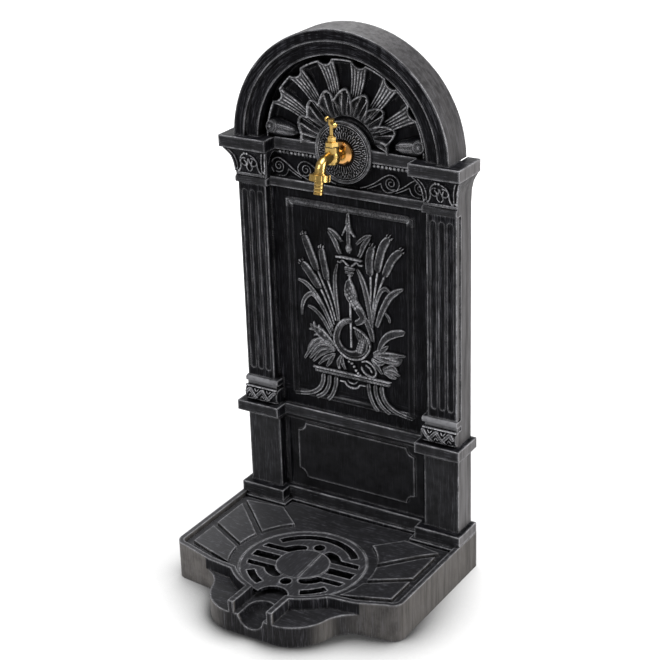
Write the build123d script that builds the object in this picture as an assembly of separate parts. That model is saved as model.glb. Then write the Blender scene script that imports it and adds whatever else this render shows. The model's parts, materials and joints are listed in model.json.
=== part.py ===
from build123d import *
import math
import os

# A garden water fountain: a hollow moulded column with pilasters and an arch, standing on a rimmed
# tray with a loose drain grate, and a brass screw-down tap fed by a hose inside the column.
# Millimetres. X is right, Y is back, Z is up. The origin is the middle of the footprint on the ground.
# Depths are measured forwards from the flat back of the object.

# Overall sizes
base_width = 400.0
base_depth = 340.0
arch_centre_z = 666.6
wall = 6.0
fit_gap = 0.3

half_width = base_width / 2
back_y = base_depth / 2
arch_radius = half_width - 18.0

# Tray levels
rim_top = 62.2
rim_width = 8.0
deck_edge_z = 54.0
deck_drain_z = 47.5
seat_z = 50.0
tray_skin = 7.0
lip_top = 53.5
apron_top = 34.0

# Tray outline, from the middle line outwards and from the back forwards
corner_inset = 19.0
corner_depth = base_depth - 109.0
front_wall_depth = base_depth - 89.0
kink_x = 86.5
kink_depth = base_depth - 78.0
basin_depth = base_depth - 147.5
basin_wall_radius = 108.0
apron_root = (137.0, base_depth - 84.5)
apron_hollow = (113.5, base_depth - 69.5)
apron_neck = (102.0, base_depth - 51.0)
apron_belly = (84.5, base_depth - 19.5)
apron_flat = 44.0
ramp_low_x = half_width - 70.0
ramp_high_x = half_width - 18.0

# Basin, gutter and scoop
grate_radius = 98.0
grate_gap = 0.8
grate_thick = 5.0
grate_seat_width = 9.0
collar_radius = 102.0
gutter_half = 29.0
cheek_thick = 9.5
scoop_radius = 22.5
scoop_axis_z = 37.5
scoop_depth = base_depth - 29.0

# Raised wedge tiles: corners as distance from the middle and depth from the back, at their inner and outer ends
tile_rise = 5.5
tile_outer_x = half_width - 22.5
tile_ring_radius = 115.0

# Drain grate
slot_ring_outer = 86.5
slot_ring_inner = 74.3
disc_radius = 41.5
disc_rise = 0.8
disc_rib_x = 12.0
disc_rib_width = 4.0
finger_radius = 9.0
finger_offset = 53.6
notch_radius = 24.5
side_slot_half = 8.0
wave_slot_low = 22.0
wave_slot_high = 33.0
grate_turn = 3.1

# Column levels
foot_top = 58.3
plinth_top = 78.4
die_top = 199.3
ledge_low = 210.1
ledge_top = 226.5
torus_top = 251.0
band_low = 257.7
band_top = 267.5
astragal_low = 592.5
capital_low = 604.0
capital_top = 652.3
abacus_top = 670.7
frieze_band_top = 606.5
bead_low = 645.0

# Column depths, forwards from the back
foot_block_depth = 63.0
foot_mid_depth = 41.5
plinth_block_depth = 57.5
plinth_mid_depth = 35.5
die_depth = 42.0
recess_depth = 25.0
plaque_rise = 3.0
ledge_block_depth = 59.8
ledge_mid_depth = 35.0
side_strip_depth = 33.0
shaft_depth = 42.0
field_depth = 28.0
torus_depth = 50.5
band_depth = 47.0
capital_depth = 60.0
abacus_depth = 65.5
cornice_depth = 37.0
frieze_depth = 26.0
bead_strip_depth = 30.0
frieze_band_depth = 36.0
arch_depth = 55.0
arch_step_depth = 49.0
tympanum_depth = 24.0

# Column half widths and inner edges
foot_side = half_width - 8.6
plinth_side = half_width - 0.4
die_side = half_width - 9.6
ledge_side = half_width - 0.5
body_side = half_width - 10.2
shaft_side = half_width - 12.5
shaft_inner = shaft_side - 49.0
foot_inner = foot_side - 76.4
plinth_inner = foot_inner + 6.5
die_inner = foot_inner + 17.0
ledge_inner = foot_inner + 9.0
torus_inner = shaft_inner - 8.0
abacus_side = half_width + 4.0
abacus_inner = shaft_inner - 17.0
flute_width = 10.0
flute_count = 3
flute_low = 281.0
flute_high = 582.0
flute_deep = 2.4
arch_inner_radius = arch_radius - 18.0
arch_recess_radius = arch_radius - 39.0
plaque_half = die_inner - 26.0
plaque_low = 98.0
plaque_high = 195.0
plaque_notch = 14.0
border_half = shaft_inner - 28.5
border_low = 250.0
border_high = 573.0
border_width = 4.5
border_rise = 2.0

# Tap, on the middle line
tap_z = 663.0
tap_hole_radius = 10.7
rosette_radius = 47.3
rosette_thick = 4.0
rosette_rim = 3.0
rosette_dish = 1.2
flange_radius = 18.6
flange_high = 8.0
tail_radius = 10.4
tap_axis_depth = 70.0
body_radius = 12.0
inlet_radius = 8.5
water_radius = 4.2
seat_level = 667.5
seat_bore = 3.6
chamber_radius = 7.4
neck_radius = 10.8
neck_top = 681.0
bonnet_across = 18.0
bonnet_top = 688.3
gland_across = 11.5
gland_top = 697.6
spindle_radius = 2.9
spindle_play = 0.06
bar_z = 717.3
bar_radius = 3.1
bar_half = 17.7
ball_radius = 4.5
bar_turn = 41.0
spout_radius = 8.1
outlet_depth = 106.3
outlet_z = 644.0
outlet_tilt = 13.0
thread_low = -2.0
outlet_thread_radius = 12.9
union_half = 4.6
union_radius = 15.2
union_lobes = 12
tail_bore = 4.6
tail_barb_radius = 7.2
groove_width = 1.6
groove_deep = 0.8
tail_length = 19.5
valve_lift = 5.0
closed_gap = 0.1
jumper_rise = 6.2

# Plumbing behind the wall
pipe_room = 9.4
pipe_depth = recess_depth - 0.8 * wall - pipe_room
hose_outer = 8.0
hose_inner = 6.0
nut_thick = 6.0
washer_thick = 2.0
elbow_radius = 13.5
elbow_leg_radius = 7.6
barb_length = 24.0
inlet_z = 80.0
nipple_radius = 8.6
nipple_length = 24.0
bracket_thick = 3.0
screw_radius = 3.0
flange_thick = 1.8


def block(x_low, x_high, depth_low, depth_high, z_low, z_high):
    """A box between two x values, two depths from the back and two heights."""
    size = (x_high - x_low, depth_high - depth_low, z_high - z_low)
    centre = ((x_low + x_high) / 2, back_y - (depth_low + depth_high) / 2, (z_low + z_high) / 2)
    return Pos(*centre) * Box(*size)


def pair(x_low, x_high, depth_low, depth_high, z_low, z_high):
    """The same box on the right and, mirrored, on the left."""
    right = block(x_low, x_high, depth_low, depth_high, z_low, z_high)
    return right + mirror(right, about=Plane.YZ)


def upright(x, depth, radius, z_low, z_high):
    """A vertical cylinder at x and a depth from the back."""
    return Pos(x, back_y - depth, (z_low + z_high) / 2) * Cylinder(radius, z_high - z_low)


def across(x, z, radius, depth_low, depth_high):
    """A cylinder whose axis runs from back to front."""
    spot = Pos(x, back_y - (depth_low + depth_high) / 2, z)
    return spot * Rot(90, 0, 0) * Cylinder(radius, depth_high - depth_low)


def plan(edges, z_low, z_high):
    """A closed plan outline made solid between two heights."""
    face = make_face(edges)
    return extrude(Pos(0, 0, z_low) * face, z_high - z_low, dir=(0, 0, 1))


def spot(x, depth):
    """A plan point from x and a depth from the back."""
    return (x, back_y - depth)


def mirrored_path(points_to_edges):
    """Plan edges for the right half, joined to their mirror image."""
    right = points_to_edges()
    return right + [mirror(edge, about=Plane.YZ) for edge in right]


def tray_outline():
    """Right half of the full-height tray: back, side, rounded corner, front wall and basin wall."""
    side = half_width
    corner = spot(side, corner_depth)
    shoulder = spot(side - corner_inset, front_wall_depth)
    mid = (side - 0.29 * corner_inset, back_y - front_wall_depth + 0.29 * (front_wall_depth - corner_depth))
    kink = spot(kink_x, kink_depth)
    nose = spot(0, basin_depth + basin_wall_radius)
    half_turn = (math.atan2(kink_depth - basin_depth, kink_x) + math.pi / 2) / 2
    swell = (basin_wall_radius * math.cos(half_turn), back_y - basin_depth - basin_wall_radius * math.sin(half_turn))
    return [
        Line(spot(0, 0), spot(side, 0)),
        Line(spot(side, 0), corner),
        ThreePointArc(corner, mid, shoulder),
        Line(shoulder, kink),
        ThreePointArc(kink, swell, nose),
    ]


def apron_outline(inset):
    """Right half of the ogee apron in front of the basin, with its wall inset."""
    root = spot(apron_root[0] - inset, apron_root[1] - inset)
    hollow = spot(apron_hollow[0] - inset, apron_hollow[1] - inset)
    neck = spot(apron_neck[0] - inset, apron_neck[1] - inset / 2)
    belly = spot(apron_belly[0] - 0.7 * inset, apron_belly[1] - 0.7 * inset)
    flat = spot(apron_flat, base_depth - inset)
    start = spot(apron_root[0] - inset, basin_depth)
    return [
        Line(spot(0, basin_depth), start),
        Line(start, root),
        ThreePointArc(root, hollow, neck),
        ThreePointArc(neck, belly, flat),
        Line(flat, spot(0, base_depth - inset)),
    ]


def inner_plan(inset, z_low, z_high, back_open):
    """The tray outline pulled in by a wall, made solid; the back may run past the object."""
    face = make_face(mirrored_path(tray_outline))
    inner = offset(face, amount=-inset, kind=Kind.INTERSECTION)
    solid = extrude(Pos(0, 0, z_low) * inner, z_high - z_low, dir=(0, 0, 1))
    if back_open:
        solid = solid + block(inset - half_width, half_width - inset, -1, base_depth / 3, z_low, z_high)
    return solid


def tile(corners):
    """One raised wedge tile between the funnelled deck and a level tile_rise above it."""
    face = make_face(Polyline(*[spot(*corner) for corner in corners], close=True))
    return extrude(Pos(0, 0, seat_z - 6) * face, tile_rise + 18, dir=(0, 0, 1))


def funnel(rise, radius_out):
    """The air above the funnelled deck: a flat cone round the basin, lifted by rise."""
    slope_top = deck_edge_z + rise
    low = deck_drain_z + rise
    cone = Solid.make_cone(collar_radius, radius_out, slope_top - low, Plane.XY.offset(low))
    above = Pos(0, 0, slope_top + 20) * Cylinder(radius_out, 40)
    return Pos(0, back_y - basin_depth, 0) * (cone + above)


def make_tiles():
    """Three tiles on each side; their gaps point away from the basin."""
    def at(x, ahead):
        return (x, basin_depth + ahead)

    rear = [at(tile_outer_x, -110.5), at(112.0, -120.5), at(66.0, -85.5), at(101.0, -42.5)]
    middle = [at(tile_outer_x, -97.5), at(102.0, -28.5), at(102.0, 6.9), at(tile_outer_x, -28.0)]
    front = [at(tile_outer_x, -16.7), at(105.0, 17.1), at(100.0, 56.5), at(tile_outer_x, 37.3)]
    right = [tile(corners) for corners in (rear, middle, front)]
    tiles = right[0] + right[1] + right[2]
    tiles = tiles + mirror(tiles, about=Plane.YZ)
    tiles = tiles - upright(0, basin_depth, tile_ring_radius, 0, 100)
    outer = half_width + 60
    top_cone = Solid.make_cone(
        tile_ring_radius, tile_outer_x + 2, deck_edge_z - deck_drain_z - 1, Plane.XY.offset(deck_drain_z + tile_rise + 1)
    )
    level = deck_edge_z + tile_rise
    air = top_cone + Pos(0, 0, level + 20) * Cylinder(outer, 40)
    return tiles - Pos(0, back_y - basin_depth, 0) * air


def make_base_tray():
    """Rimmed tray with funnelled deck, basin, cheeks, gutter, scoop and ogee apron, hollow underneath."""
    body = plan(mirrored_path(tray_outline), 0, lip_top)
    apron = plan(mirrored_path(lambda: apron_outline(0)), 0, apron_top)
    rim = plan(mirrored_path(tray_outline), lip_top, rim_top) - inner_plan(rim_width, lip_top - 1, rim_top + 1, True)
    ramp = [
        (-ramp_high_x, rim_top + 1),
        (-ramp_high_x, rim_top),
        (-ramp_low_x, lip_top),
        (ramp_low_x, lip_top),
        (ramp_high_x, rim_top),
        (ramp_high_x, rim_top + 1),
    ]
    ramp_face = make_face(Polyline(*ramp, close=True))
    ramp_cut = extrude(Pos(0, back_y - basin_depth, 0) * Rot(90, 0, 0) * ramp_face, base_depth, dir=(0, -1, 0))
    rim = rim - ramp_cut
    cheek = block(gutter_half, gutter_half + cheek_thick, basin_depth + 90, base_depth, 0, lip_top)
    body = body + apron + rim + cheek + mirror(cheek, about=Plane.YZ)

    deck_air = funnel(0, tile_outer_x + 2) & inner_plan(rim_width, 0, rim_top + 1, True)
    deck_air = deck_air - block(-half_width, half_width, -2, foot_mid_depth, 0, 100)
    body = body - deck_air + make_tiles()

    seat = pair(0, foot_side + fit_gap, -1, foot_mid_depth + fit_gap, seat_z, rim_top + 1)
    seat = seat + pair(foot_inner - fit_gap, foot_side + fit_gap, -1, foot_block_depth + fit_gap, seat_z, rim_top + 1)
    body = body - seat

    hole_radius = grate_radius + grate_gap
    grate_low = deck_drain_z - grate_thick
    body = body - upright(0, basin_depth, hole_radius, grate_low, rim_top + 1)
    body = body - upright(0, basin_depth, hole_radius - grate_seat_width, apron_top, rim_top)
    body = body - block(-gutter_half, gutter_half, basin_depth, base_depth + 1, apron_top, rim_top + 1)
    scoop_front = base_depth + 1
    scoop = across(0, scoop_axis_z, scoop_radius, scoop_depth, scoop_front)
    scoop = scoop + Pos(0, back_y - scoop_depth, scoop_axis_z) * Sphere(scoop_radius)
    body = body - scoop

    under = inner_plan(wall, -1, seat_z - tray_skin, False)
    under = under - upright(0, basin_depth, hole_radius + wall, apron_top - wall, rim_top)
    under_apron = plan(mirrored_path(lambda: apron_outline(wall)), -1, apron_top - wall)
    under = under + under_apron
    keel = block(-scoop_radius - wall, scoop_radius + wall, scoop_depth - 29, base_depth, scoop_axis_z - scoop_radius - wall, 60)
    body = body - (under - keel)
    return body - hose_way()


def hose_way():
    """The notch in the back of the tray that lets the feed hose in."""
    return block(-hose_way_half, hose_way_half, -1, hose_way_depth, -1, rim_top)


hose_way_half = 30.0
hose_way_depth = 24.0
screw_front = foot_side - 33.4
screw_rear = foot_side - 11.4
column_screw_spots = [(screw_front, 46.0), (-screw_front, 46.0), (screw_rear, 16.0), (-screw_rear, 16.0)]


def grate_wave_slot():
    """Right-hand wavy slot: straight at its outer end, curling round the centre disc at its inner end."""
    reach = math.sqrt(slot_ring_outer**2 - wave_slot_low**2)
    top_reach = math.sqrt(slot_ring_outer**2 - wave_slot_high**2)
    middle = (wave_slot_low + wave_slot_high) / 2
    root = (math.sqrt(disc_radius**2 - wave_slot_low**2) + 2, wave_slot_low)
    tip_turn = math.radians(67)
    tip = ((disc_radius + 1) * math.cos(tip_turn), (disc_radius + 1) * math.sin(tip_turn))
    side_turn = math.radians(49)
    side = ((disc_radius + 1) * math.cos(side_turn), (disc_radius + 1) * math.sin(side_turn))
    edges = [
        Line((reach, wave_slot_low), root),
        ThreePointArc(root, side, tip),
        ThreePointArc(tip, (17.0, 45.5), (25.0, 49.3)),
        ThreePointArc((25.0, 49.3), (38.5, 44.0), (49.0, wave_slot_high)),
        Line((49.0, wave_slot_high), (top_reach, wave_slot_high)),
        ThreePointArc(
            (top_reach, wave_slot_high), (math.sqrt(slot_ring_outer**2 - middle**2), middle), (reach, wave_slot_low)
        ),
    ]
    return make_face(edges)


def ring_slot(turn_from, turn_to):
    """A slot that follows the grate's rim between two angles in degrees."""
    def at(radius, turn):
        return (radius * math.cos(math.radians(turn)), radius * math.sin(math.radians(turn)))

    middle = (turn_from + turn_to) / 2
    edges = [
        ThreePointArc(at(slot_ring_outer, turn_from), at(slot_ring_outer, middle), at(slot_ring_outer, turn_to)),
        Line(at(slot_ring_outer, turn_to), at(slot_ring_inner, turn_to)),
        ThreePointArc(at(slot_ring_inner, turn_to), at(slot_ring_inner, middle), at(slot_ring_inner, turn_from)),
        Line(at(slot_ring_inner, turn_from), at(slot_ring_outer, turn_from)),
    ]
    return make_face(edges)


def make_drain_grate():
    """Round cast grate with straight, wavy and ring slots, two finger holes and the front notch."""
    top = deck_drain_z
    plate = Cylinder(grate_radius, grate_thick, align=(Align.CENTER, Align.CENTER, Align.MAX))
    disc = Cylinder(disc_radius, disc_rise, align=(Align.CENTER, Align.CENTER, Align.MIN))
    rib_half = math.sqrt(disc_radius**2 - (disc_rib_x + disc_rib_width) ** 2) - 1
    rib = Pos(disc_rib_x, 0, disc_rise) * Box(
        disc_rib_width, 2 * rib_half, disc_rise, align=(Align.CENTER, Align.CENTER, Align.MIN)
    )
    wave = grate_wave_slot()
    waves = [wave, mirror(wave, about=Plane.YZ), mirror(wave, about=Plane.XZ)]
    waves.append(mirror(waves[1], about=Plane.XZ))
    side_reach = math.sqrt(slot_ring_outer**2 - side_slot_half**2)
    side = Pos((disc_radius + 1 + side_reach) / 2, 0) * Rectangle(side_reach - disc_radius - 1, 2 * side_slot_half)
    faces = waves + [side, mirror(side, about=Plane.YZ), ring_slot(36, 144), ring_slot(-64.5, -36), ring_slot(-144, -115.5)]
    cut = [extrude(Pos(0, 0, -10) * face, 20, dir=(0, 0, 1)) for face in faces]
    grate = plate + disc + rib
    for slot in cut:
        grate = grate - slot
    for side_sign in (1, -1):
        grate = grate - Pos(0, side_sign * finger_offset, 0) * Cylinder(finger_radius, 30)
    grate = grate - Pos(0, 1 - grate_radius, 0) * Cylinder(notch_radius, 30)
    return Pos(0, back_y - basin_depth, top) * Rot(0, 0, grate_turn) * grate


def bevel_block(low_box, high_box, z_low, z_high):
    """A block whose plan grows from one rectangle to another; each is (x low, x high, front depth)."""
    faces = []
    for (x_low, x_high, depth), level in ((low_box, z_low), (high_box, z_high)):
        centre = Pos((x_low + x_high) / 2, back_y - depth / 2, level)
        faces.append(centre * Rectangle(x_high - x_low, depth))
    return loft(faces, ruled=True)


def stack(sections):
    """Ruled blocks on top of each other; each section is (x low, x high, front depth, level)."""
    solid = None
    for low, high in zip(sections, sections[1:]):
        piece = bevel_block(low[:3], high[:3], low[3], high[3])
        solid = piece if solid is None else solid + piece
    return solid


def rounded_bar(x_low, x_high, depth, z_low, z_high, radius):
    """A bar across a pilaster with its long front edges rounded."""
    bar = block(x_low, x_high, 0, depth, z_low, z_high)
    front = [edge for edge in bar.edges().filter_by(Axis.X) if edge.center().Y < back_y - depth + 0.01]
    return fillet(front, radius)


def plaque_face():
    """The plaque between the dies: a rectangle with a small shoulder and a hollow quarter at each corner."""
    half = plaque_half
    low = plaque_low
    high = plaque_high
    centre_z = (low + high) / 2
    face = Pos(0, centre_z) * Rectangle(2 * half, high - low)
    for x_sign in (1, -1):
        for z in (low, high):
            face = face - Pos(x_sign * half, z) * Circle(plaque_notch)
    return face


def front_face(face, depth_low, depth_high):
    """A face drawn in x and z made solid between two depths."""
    placed = Pos(0, back_y - depth_low, 0) * Rot(90, 0, 0) * face
    return extrude(placed, depth_high - depth_low, dir=(0, -1, 0))


def half_disc(radius, depth_low, depth_high, z_low):
    """The part of a front-facing disc about the arch's centre that lies above a level."""
    disc = across(0, arch_centre_z, radius, depth_low, depth_high)
    keep = block(-radius - 1, radius + 1, depth_low - 1, depth_high + 1, z_low, arch_centre_z + radius + 1)
    return disc & keep


def make_column_front():
    """The outside of the column: every step, moulding and block, still solid inside."""
    foot = pair(foot_inner, foot_side, 0, foot_block_depth, seat_z, foot_top)
    foot = foot + block(-foot_side, foot_side, 0, foot_mid_depth, seat_z, foot_top)
    foot = foot + pair(foot_inner + wall, foot_side, 0, plinth_block_depth, foot_top, rim_top)
    plinth_low = rim_top + fit_gap
    body = foot + block(-foot_side, foot_side, 0, plinth_mid_depth, foot_top, plinth_low)
    body = body + pair(plinth_inner, foot_side, 0, plinth_block_depth, foot_top, plinth_low)
    body = body + pair(plinth_inner, plinth_side, 0, plinth_block_depth, plinth_low, plinth_top)
    body = body + block(-plinth_side, plinth_side, 0, plinth_mid_depth, plinth_low, plinth_top)
    body = body + block(-die_side, die_side, 0, recess_depth, plinth_top, die_top)
    body = body + pair(die_inner, die_side, 0, die_depth, plinth_top, die_top)
    body = body + front_face(plaque_face(), recess_depth - 1, recess_depth + plaque_rise)
    under = bevel_block((die_inner, die_side, die_depth), (ledge_inner, ledge_side, ledge_block_depth), die_top, ledge_low)
    body = body + under + mirror(under, about=Plane.YZ)
    body = body + bevel_block((-die_side, die_side, recess_depth), (-die_side, die_side, ledge_mid_depth), die_top, ledge_low)
    body = body + block(-die_side, die_side, 0, ledge_mid_depth, ledge_low, ledge_top)
    ledge = block(ledge_inner, ledge_side, 0, ledge_block_depth, ledge_low, ledge_top)
    body = body + ledge + mirror(ledge, about=Plane.YZ)
    body = body + block(-body_side, body_side, 0, field_depth, ledge_top, capital_top)
    body = body + pair(shaft_inner, body_side, 0, side_strip_depth, ledge_top, capital_low)
    body = body + pair(shaft_inner, shaft_side, 0, shaft_depth, ledge_top, capital_low)
    body = body + frieze_and_cornice()
    for side in (pilaster_trim(), mirror(pilaster_trim(), about=Plane.YZ)):
        body = body + side
    body = body - flutes()
    body = body + panel_border()
    return body + arch()


def pilaster_trim():
    """Foot torus, fillet band, astragal and capital of the right pilaster, with its abacus."""
    torus_height = torus_top - ledge_top
    trim = rounded_bar(torus_inner, body_side, torus_depth, ledge_top, torus_top, 0.42 * torus_height)
    trim = trim + block(torus_inner + 4, shaft_side + 1, 0, shaft_depth + 1.5, torus_top - 1, band_low + 1)
    band_height = band_top - band_low
    trim = trim + rounded_bar(torus_inner, body_side, band_depth, band_low, band_top, 0.42 * band_height)
    collar_height = capital_low - astragal_low
    collar = rounded_bar(torus_inner + 3, body_side, band_depth, astragal_low, capital_low, 0.38 * collar_height)
    bell = stack(
        [
            (shaft_inner - 3, body_side, shaft_depth + 1.0, capital_low),
            (shaft_inner - 5, body_side + 1.2, shaft_depth + 2.5, capital_low + 20),
            (shaft_inner - 8.5, body_side + 4.2, shaft_depth + 6.5, capital_low + 33),
            (shaft_inner - 12.5, body_side + 9.0, shaft_depth + 12.5, capital_low + 42),
            (abacus_inner + 1, abacus_side - 1.5, capital_depth, capital_top),
        ]
    )
    abacus = block(abacus_inner, abacus_side, 0, abacus_depth, capital_top, abacus_top)
    return trim + collar + bell + abacus


def frieze_and_cornice():
    """Between the capitals: bottom band, plain scroll field, bead strip and the cornice."""
    inner = abacus_inner + 12
    band = block(-inner, inner, 0, frieze_band_depth, astragal_low, frieze_band_top)
    strip = block(-inner, inner, 0, bead_strip_depth, bead_low, capital_top)
    cornice = block(-inner, inner, 0, cornice_depth, capital_top, abacus_top)
    return band + strip + cornice


def flutes():
    """Round-ended hollow flutes, evenly spaced over each shaft."""
    pitch = (shaft_side - shaft_inner) / (flute_count + 0.5)
    first = shaft_inner + 0.75 * pitch
    cut_radius = (flute_deep**2 + (flute_width / 2) ** 2) / (2 * flute_deep)
    axis_depth = shaft_depth - flute_deep + cut_radius
    cut = None
    for index in range(flute_count):
        x = first + index * pitch
        rod = upright(x, axis_depth, cut_radius, flute_low + flute_width / 2, flute_high - flute_width / 2)
        for level in (flute_low + flute_width / 2, flute_high - flute_width / 2):
            rod = rod + Pos(x, back_y - axis_depth, level) * Sphere(cut_radius)
        cut = rod if cut is None else cut + rod
    limit = pair(shaft_inner, shaft_side, shaft_depth - flute_deep - 1, shaft_depth + 1, flute_low, flute_high)
    return (cut + mirror(cut, about=Plane.YZ)) & limit


def panel_border():
    """A thin raised frame on the field between the pilasters."""
    outer = block(-border_half, border_half, field_depth - 1, field_depth + border_rise, border_low, border_high)
    inset = border_width
    inner = block(inset - border_half, border_half - inset, 0, abacus_depth, border_low + inset, border_high - inset)
    return outer - inner


def arch():
    """Round arch with two stepped bands over a sunk tympanum, and the boss that carries the rosette."""
    outer = half_disc(arch_radius, 0, arch_depth, abacus_top)
    outer = outer - half_disc(arch_inner_radius, arch_step_depth, arch_depth + 1, abacus_top)
    outer = outer - half_disc(arch_recess_radius, tympanum_depth, arch_depth + 1, abacus_top)
    boss = across(0, tap_z, rosette_radius - 3, tympanum_depth - 2, cornice_depth)
    return outer + boss


def make_column_hollow():
    """The air inside the column, open at the back and at the foot."""
    inner_side = die_side - wall
    foot_air = block(wall - foot_side, foot_side - wall, -1, plinth_mid_depth - wall, seat_z - 1, plinth_top - wall)
    foot_air = foot_air + pair(
        plinth_inner + wall, foot_side - wall, -1, plinth_block_depth - wall, seat_z - 1, plinth_top - wall
    )
    die_air = block(-die_inner - wall, die_inner + wall, -1, recess_depth - 0.8 * wall, seat_z, ledge_low)
    die_air = die_air + pair(die_inner + wall, inner_side, -1, die_depth - wall, seat_z, ledge_low)
    shaft_air = block(wall - body_side, body_side - wall, -1, field_depth - wall, ledge_low - 1, capital_top)
    shaft_air = shaft_air + pair(
        shaft_inner + wall, shaft_side - wall, -1, shaft_depth - wall - flute_deep, ledge_low - 1, capital_low
    )
    shaft_air = shaft_air + pair(
        shaft_inner + wall, shaft_side - wall, -1, shaft_depth - wall, capital_low - 1, abacus_top - wall
    )
    frieze_air = block(wall - body_side, body_side - wall, -1, frieze_depth - wall, capital_low, abacus_top)
    arch_air = half_disc(arch_radius - wall, -1, tympanum_depth - wall, abacus_top - wall)
    ring = half_disc(arch_radius - wall, -1, arch_step_depth - wall, abacus_top)
    ring = ring - half_disc(arch_recess_radius + wall, -2, arch_depth + 2, abacus_top - 1)
    return foot_air + die_air + shaft_air + frieze_air + arch_air + ring


def boss_at(x, depth, z_low, z_high):
    """A round screw boss inside the column."""
    return upright(x, depth, 2.4 * screw_radius, z_low, z_high)


def make_column_shell():
    """The hollow column with its screw bosses and the hole for the tap."""
    shell = make_column_front() - make_column_hollow()
    shell = shell - scroll_field()
    for x, depth in column_screw_spots:
        shell = shell + boss_at(x, depth, seat_z, plinth_top - 1)
    for x, depth in column_screw_spots:
        shell = shell - upright(x, depth, screw_radius + 0.05, seat_z - 1, seat_z + 20)
    shell = shell + hose_supports()
    pocket = across(0, tap_z, rosette_radius - 3 - wall, 0, cornice_depth - wall)
    shell = shell - pocket - across(0, tap_z, tap_hole_radius, 0, cornice_depth + 1)
    return shell - small_screw_holes()


def scroll_field():
    """The sunk strip of the frieze between the bottom band and the bead strip."""
    inner = abacus_inner + 12
    strip = block(-inner, inner, frieze_depth, cornice_depth + 1, frieze_band_top, bead_low)
    boss = across(0, tap_z, rosette_radius - 3, 0, cornice_depth + 2)
    return strip - boss


small_screw_radius = 1.9
bracket_screw_x = 24.0


def hose_supports():
    """Two small pads that carry the inlet bracket."""
    pads = None
    for x, z, front in small_screw_spots():
        pad = across(x, z, 5.0, pipe_depth, front)
        pads = pad if pads is None else pads + pad
    return pads


def small_screw_spots():
    """Where the bracket is screwed on: x, z and the depth of the wall there."""
    front = recess_depth - 0.8 * wall + 0.5
    return [(sign * bracket_screw_x, inlet_z + 12, front) for sign in (1, -1)]


def small_screw_holes():
    """Pilot holes of the bracket screws."""
    holes = None
    for x, z, front in small_screw_spots():
        hole = across(x, z, small_screw_radius + 0.05, 0, pipe_depth + 8)
        holes = hole if holes is None else holes + hole
    return holes


def make_column_screws():
    """Four flanged hexagon screws that pass up through the tray into the column's bosses."""
    head_top = seat_z - tray_skin
    screws = []
    for x, depth in column_screw_spots:
        shank = upright(x, depth, screw_radius, head_top, seat_z + 18)
        flange = upright(x, depth, 2.5 * screw_radius, head_top - flange_thick, head_top)
        screws.append(shank + flange + hexagon(10.0, x, depth, head_top - flange_thick - 4, head_top - flange_thick))
    return screws


def ring_across(outer, inner, depth_low, depth_high):
    """A washer on the tap's axis behind or in front of the wall."""
    return across(0, tap_z, outer, depth_low, depth_high) - across(0, tap_z, inner, depth_low - 1, depth_high + 1)


def make_rosette():
    """Round cast plate on the cornice, slightly dished inside its rim."""
    low = cornice_depth
    high = cornice_depth + rosette_thick
    plate = ring_across(rosette_radius, tap_hole_radius, low, high)
    dish = across(0, tap_z, rosette_radius - rosette_rim, high - rosette_dish, high + 1)
    return plate - dish


def make_wall_flange():
    """Domed brass flange between the rosette and the tap body."""
    low = cornice_depth + rosette_thick - rosette_dish
    dome = Pos(0, back_y - low, tap_z) * Rot(90, 0, 0) * dome_solid()
    return dome - across(0, tap_z, tail_radius + 0.1, 0, 100)


def turned(points):
    """A closed profile of (radius, height) points, with its axis added, spun round Z."""
    outline = [(0, points[0][1])] + points + [(0, points[-1][1])]
    return revolve(Rot(90, 0, 0) * make_face(Polyline(*outline, close=True)), Axis.Z)


def dome_solid():
    """The flange's flattened dome as a turned profile of four short slopes."""
    high = flange_high + rosette_dish
    edge = (flange_radius, 1.8)
    slopes = [(0.93 * flange_radius, 0.55 * high), (0.78 * flange_radius, 0.83 * high), (tail_radius, high)]
    return turned([(flange_radius, 0), edge] + slopes)


def ball(radius):
    """A turned ball made of short slopes between its poles."""
    rings = 6
    angles = [math.pi * (index / rings - 0.5) for index in range(1, rings)]
    points = [(radius * math.cos(angle), radius * math.sin(angle)) for angle in angles]
    return turned([(0.25 * radius, -0.98 * radius)] + points + [(0.25 * radius, 0.98 * radius)])


def outlet(radius, low, high):
    """A cylinder on the tilted outlet axis between two distances above the union nut's middle."""
    return outlet_place() * Pos(0, 0, (low + high) / 2) * Cylinder(radius, high - low)


def outlet_place():
    """Where the union nut's middle lies; the outlet axis leans forwards going down."""
    return Pos(0, back_y - outlet_depth, outlet_z) * Rot(-outlet_tilt, 0, 0)


def outlet_point(distance):
    """A point on the outlet axis, given its distance above the union nut's middle."""
    lean = math.radians(outlet_tilt)
    return (0, back_y - outlet_depth + distance * math.sin(lean), outlet_z + distance * math.cos(lean))


def rod_between(start, end, radius):
    """A straight round rod between two points."""
    line = Line(start, end)
    return extrude(Plane(line @ 0, z_dir=line % 0) * Circle(radius), line.length)


def spout_path():
    """Centre line of the curved spout: forward out of the belly, then down to the union nut."""
    start = (0, back_y - tap_axis_depth, seat_level + 0.5)
    return FilletPolyline(start, outlet_point(21.0), outlet_point(0), radius=15)


def swept_round(radius, path):
    """A round rod along a path."""
    section = Plane(path @ 0, z_dir=path % 0) * Circle(radius)
    return sweep(section, path=path)


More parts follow.
